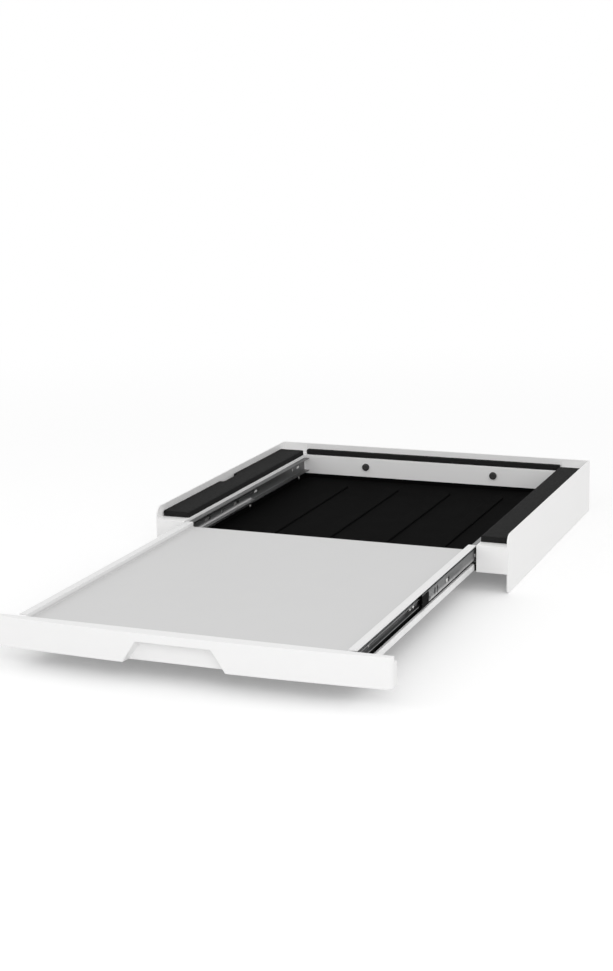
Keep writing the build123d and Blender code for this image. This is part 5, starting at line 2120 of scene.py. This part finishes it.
@dataclass
class Studio:
    """The pale floor, the white surround, the lamps and the camera.

    Args:
        eye: where the camera stands, in metres.
        right, up: the camera's own axes.
        lens: its focal length, in millimetres.
        sensor: the width of its film, in millimetres.
        far: how far it sees, in metres.
        floor_size: the floor's side, in metres.
        fade: where the floor starts to turn white and where it is all white, in metres.
        sky: the strength of the surround on the object.
        floor_glow: the floor's own light to the camera.
        lamps: the lamps: name, place, side and watts.
    """

    eye: Triple = (0.9955, -2.548, 0.7961)
    right: Triple = (0.92885, 0.36995, -0.01929)
    up: Triple = (-0.06733, 0.21981, 0.97323)
    lens: float = 65.09
    sensor: float = 36.0
    far: float = 100.0
    floor_size: float = 60.0
    fade: Pair = (0.9, 2.6)
    sky: float = 0.8
    floor_glow: float = 0.2
    lamps: tuple[tuple, ...] = (("key_lamp", (1.9, -3.5, 1.9), 2.4, 41.0),
                                ("fill_lamp", (-2.6, -2.6, 1.6), 2.0, 9.0))

    def build(self) -> None:
        """Set up the whole studio."""
        self.camera()
        self.surround()
        self.floor()
        for lamp in self.lamps:
            self.lamp(*lamp)

    def camera(self) -> None:
        """Stand the camera where the photograph was taken from."""
        right, up = Vector(self.right).normalized(), Vector(self.up)
        back = right.cross(up).normalized()
        up = back.cross(right)
        turn = Matrix((right, up, back)).transposed().to_4x4()
        data = bpy.data.cameras.new("camera")
        data.lens = self.lens
        data.sensor_width = self.sensor
        data.clip_end = self.far
        camera = bpy.data.objects.new("camera", data)
        camera.matrix_world = Matrix.Translation(self.eye) @ turn
        bpy.context.scene.collection.objects.link(camera)
        bpy.context.scene.camera = camera

    def surround(self) -> None:
        """White to the camera and in reflections, softer as light."""
        world = bpy.data.worlds.new("surround")
        bpy.context.scene.world = world
        world.use_nodes = True
        graph = Graph(world.node_tree)
        background = graph.found("BACKGROUND")
        graph.feed(background.inputs["Color"], grey(1.0))
        graph.feed(background.inputs["Strength"], self.looked_at(graph) * (1 - self.sky) + self.sky)

    def looked_at(self, graph: Graph) -> Link:
        """1 for what the camera sees, straight, in a reflection or through something.

        Args:
            graph: the nodes that it is for.

        Returns:
            The value.
        """
        seen, glossy, through = [graph.add("ShaderNodeLightPath", output=f"Is {ray} Ray")
                                 for ray in ("Camera", "Glossy", "Transmission")]
        return seen.math("MAXIMUM", seen, glossy.math("MAXIMUM", glossy, through))

    def floor(self) -> None:
        """A pale floor that keeps the object's shadow and turns white further out."""
        Bench.rest()
        bpy.ops.mesh.primitive_plane_add(size=self.floor_size)
        floor = Bench.settle("floor")
        made = bpy.data.materials.new("floor_paint")
        made.use_nodes = True
        graph = Graph(made.node_tree)
        surface, looked = graph.found("BSDF_PRINCIPLED"), self.looked_at(graph)
        inputs = {"Base Color": grey(0.9), "Roughness": 0.9, "Specular IOR Level": 0.0,
                  "Emission Color": grey(1.0), "Emission Strength": looked * self.floor_glow}
        for name, value in inputs.items():
            graph.feed(surface.inputs[name], value)
        away = graph.add("ShaderNodeVectorMath", {"operation": "LENGTH"}, {0: graph.place()}, 1)
        share = graph.add("ShaderNodeMapRange", {"interpolation_type": "SMOOTHSTEP"},
                          {"Value": away, "From Min": self.fade[0], "From Max": self.fade[1]})
        white = graph.add("ShaderNodeEmission", inputs={"Color": grey(1.0)})
        painted = Link(graph, surface.outputs[0])
        mixed = graph.add("ShaderNodeMixShader", inputs={0: share * looked, 1: painted, 2: white})
        graph.feed(graph.found("OUTPUT_MATERIAL").inputs["Surface"], mixed)
        floor.data.materials.append(made)

    def lamp(self, name: str, place: Sequence[float], size: float, power: float) -> None:
        """A large soft lamp that faces the object.

        Args:
            name: the lamp's name.
            place: where it stands, in metres.
            size: the side of its square face, in metres.
            power: its power in watts.
        """
        data = bpy.data.lights.new(name, "AREA")
        data.size = size
        data.energy = power
        lamp = bpy.data.objects.new(name, data)
        lamp.location = place
        lamp.rotation_euler = (-Vector(place)).to_track_quat("-Z", "Y").to_euler()
        bpy.context.scene.collection.objects.link(lamp)


def main() -> None:
    """Build every sub-assembly in order, then the studio."""
    bpy.context.scene.view_settings.view_transform = "Standard"
    for assembly in (StackingFrame(), Shelf(), Slides(), Ratchet(), Studio()):
        log.info("building %s", type(assembly).__name__)
        assembly.build()


if __name__ == "__main__":
    logging.basicConfig(level=logging.INFO, format="%(message)s")
    main()
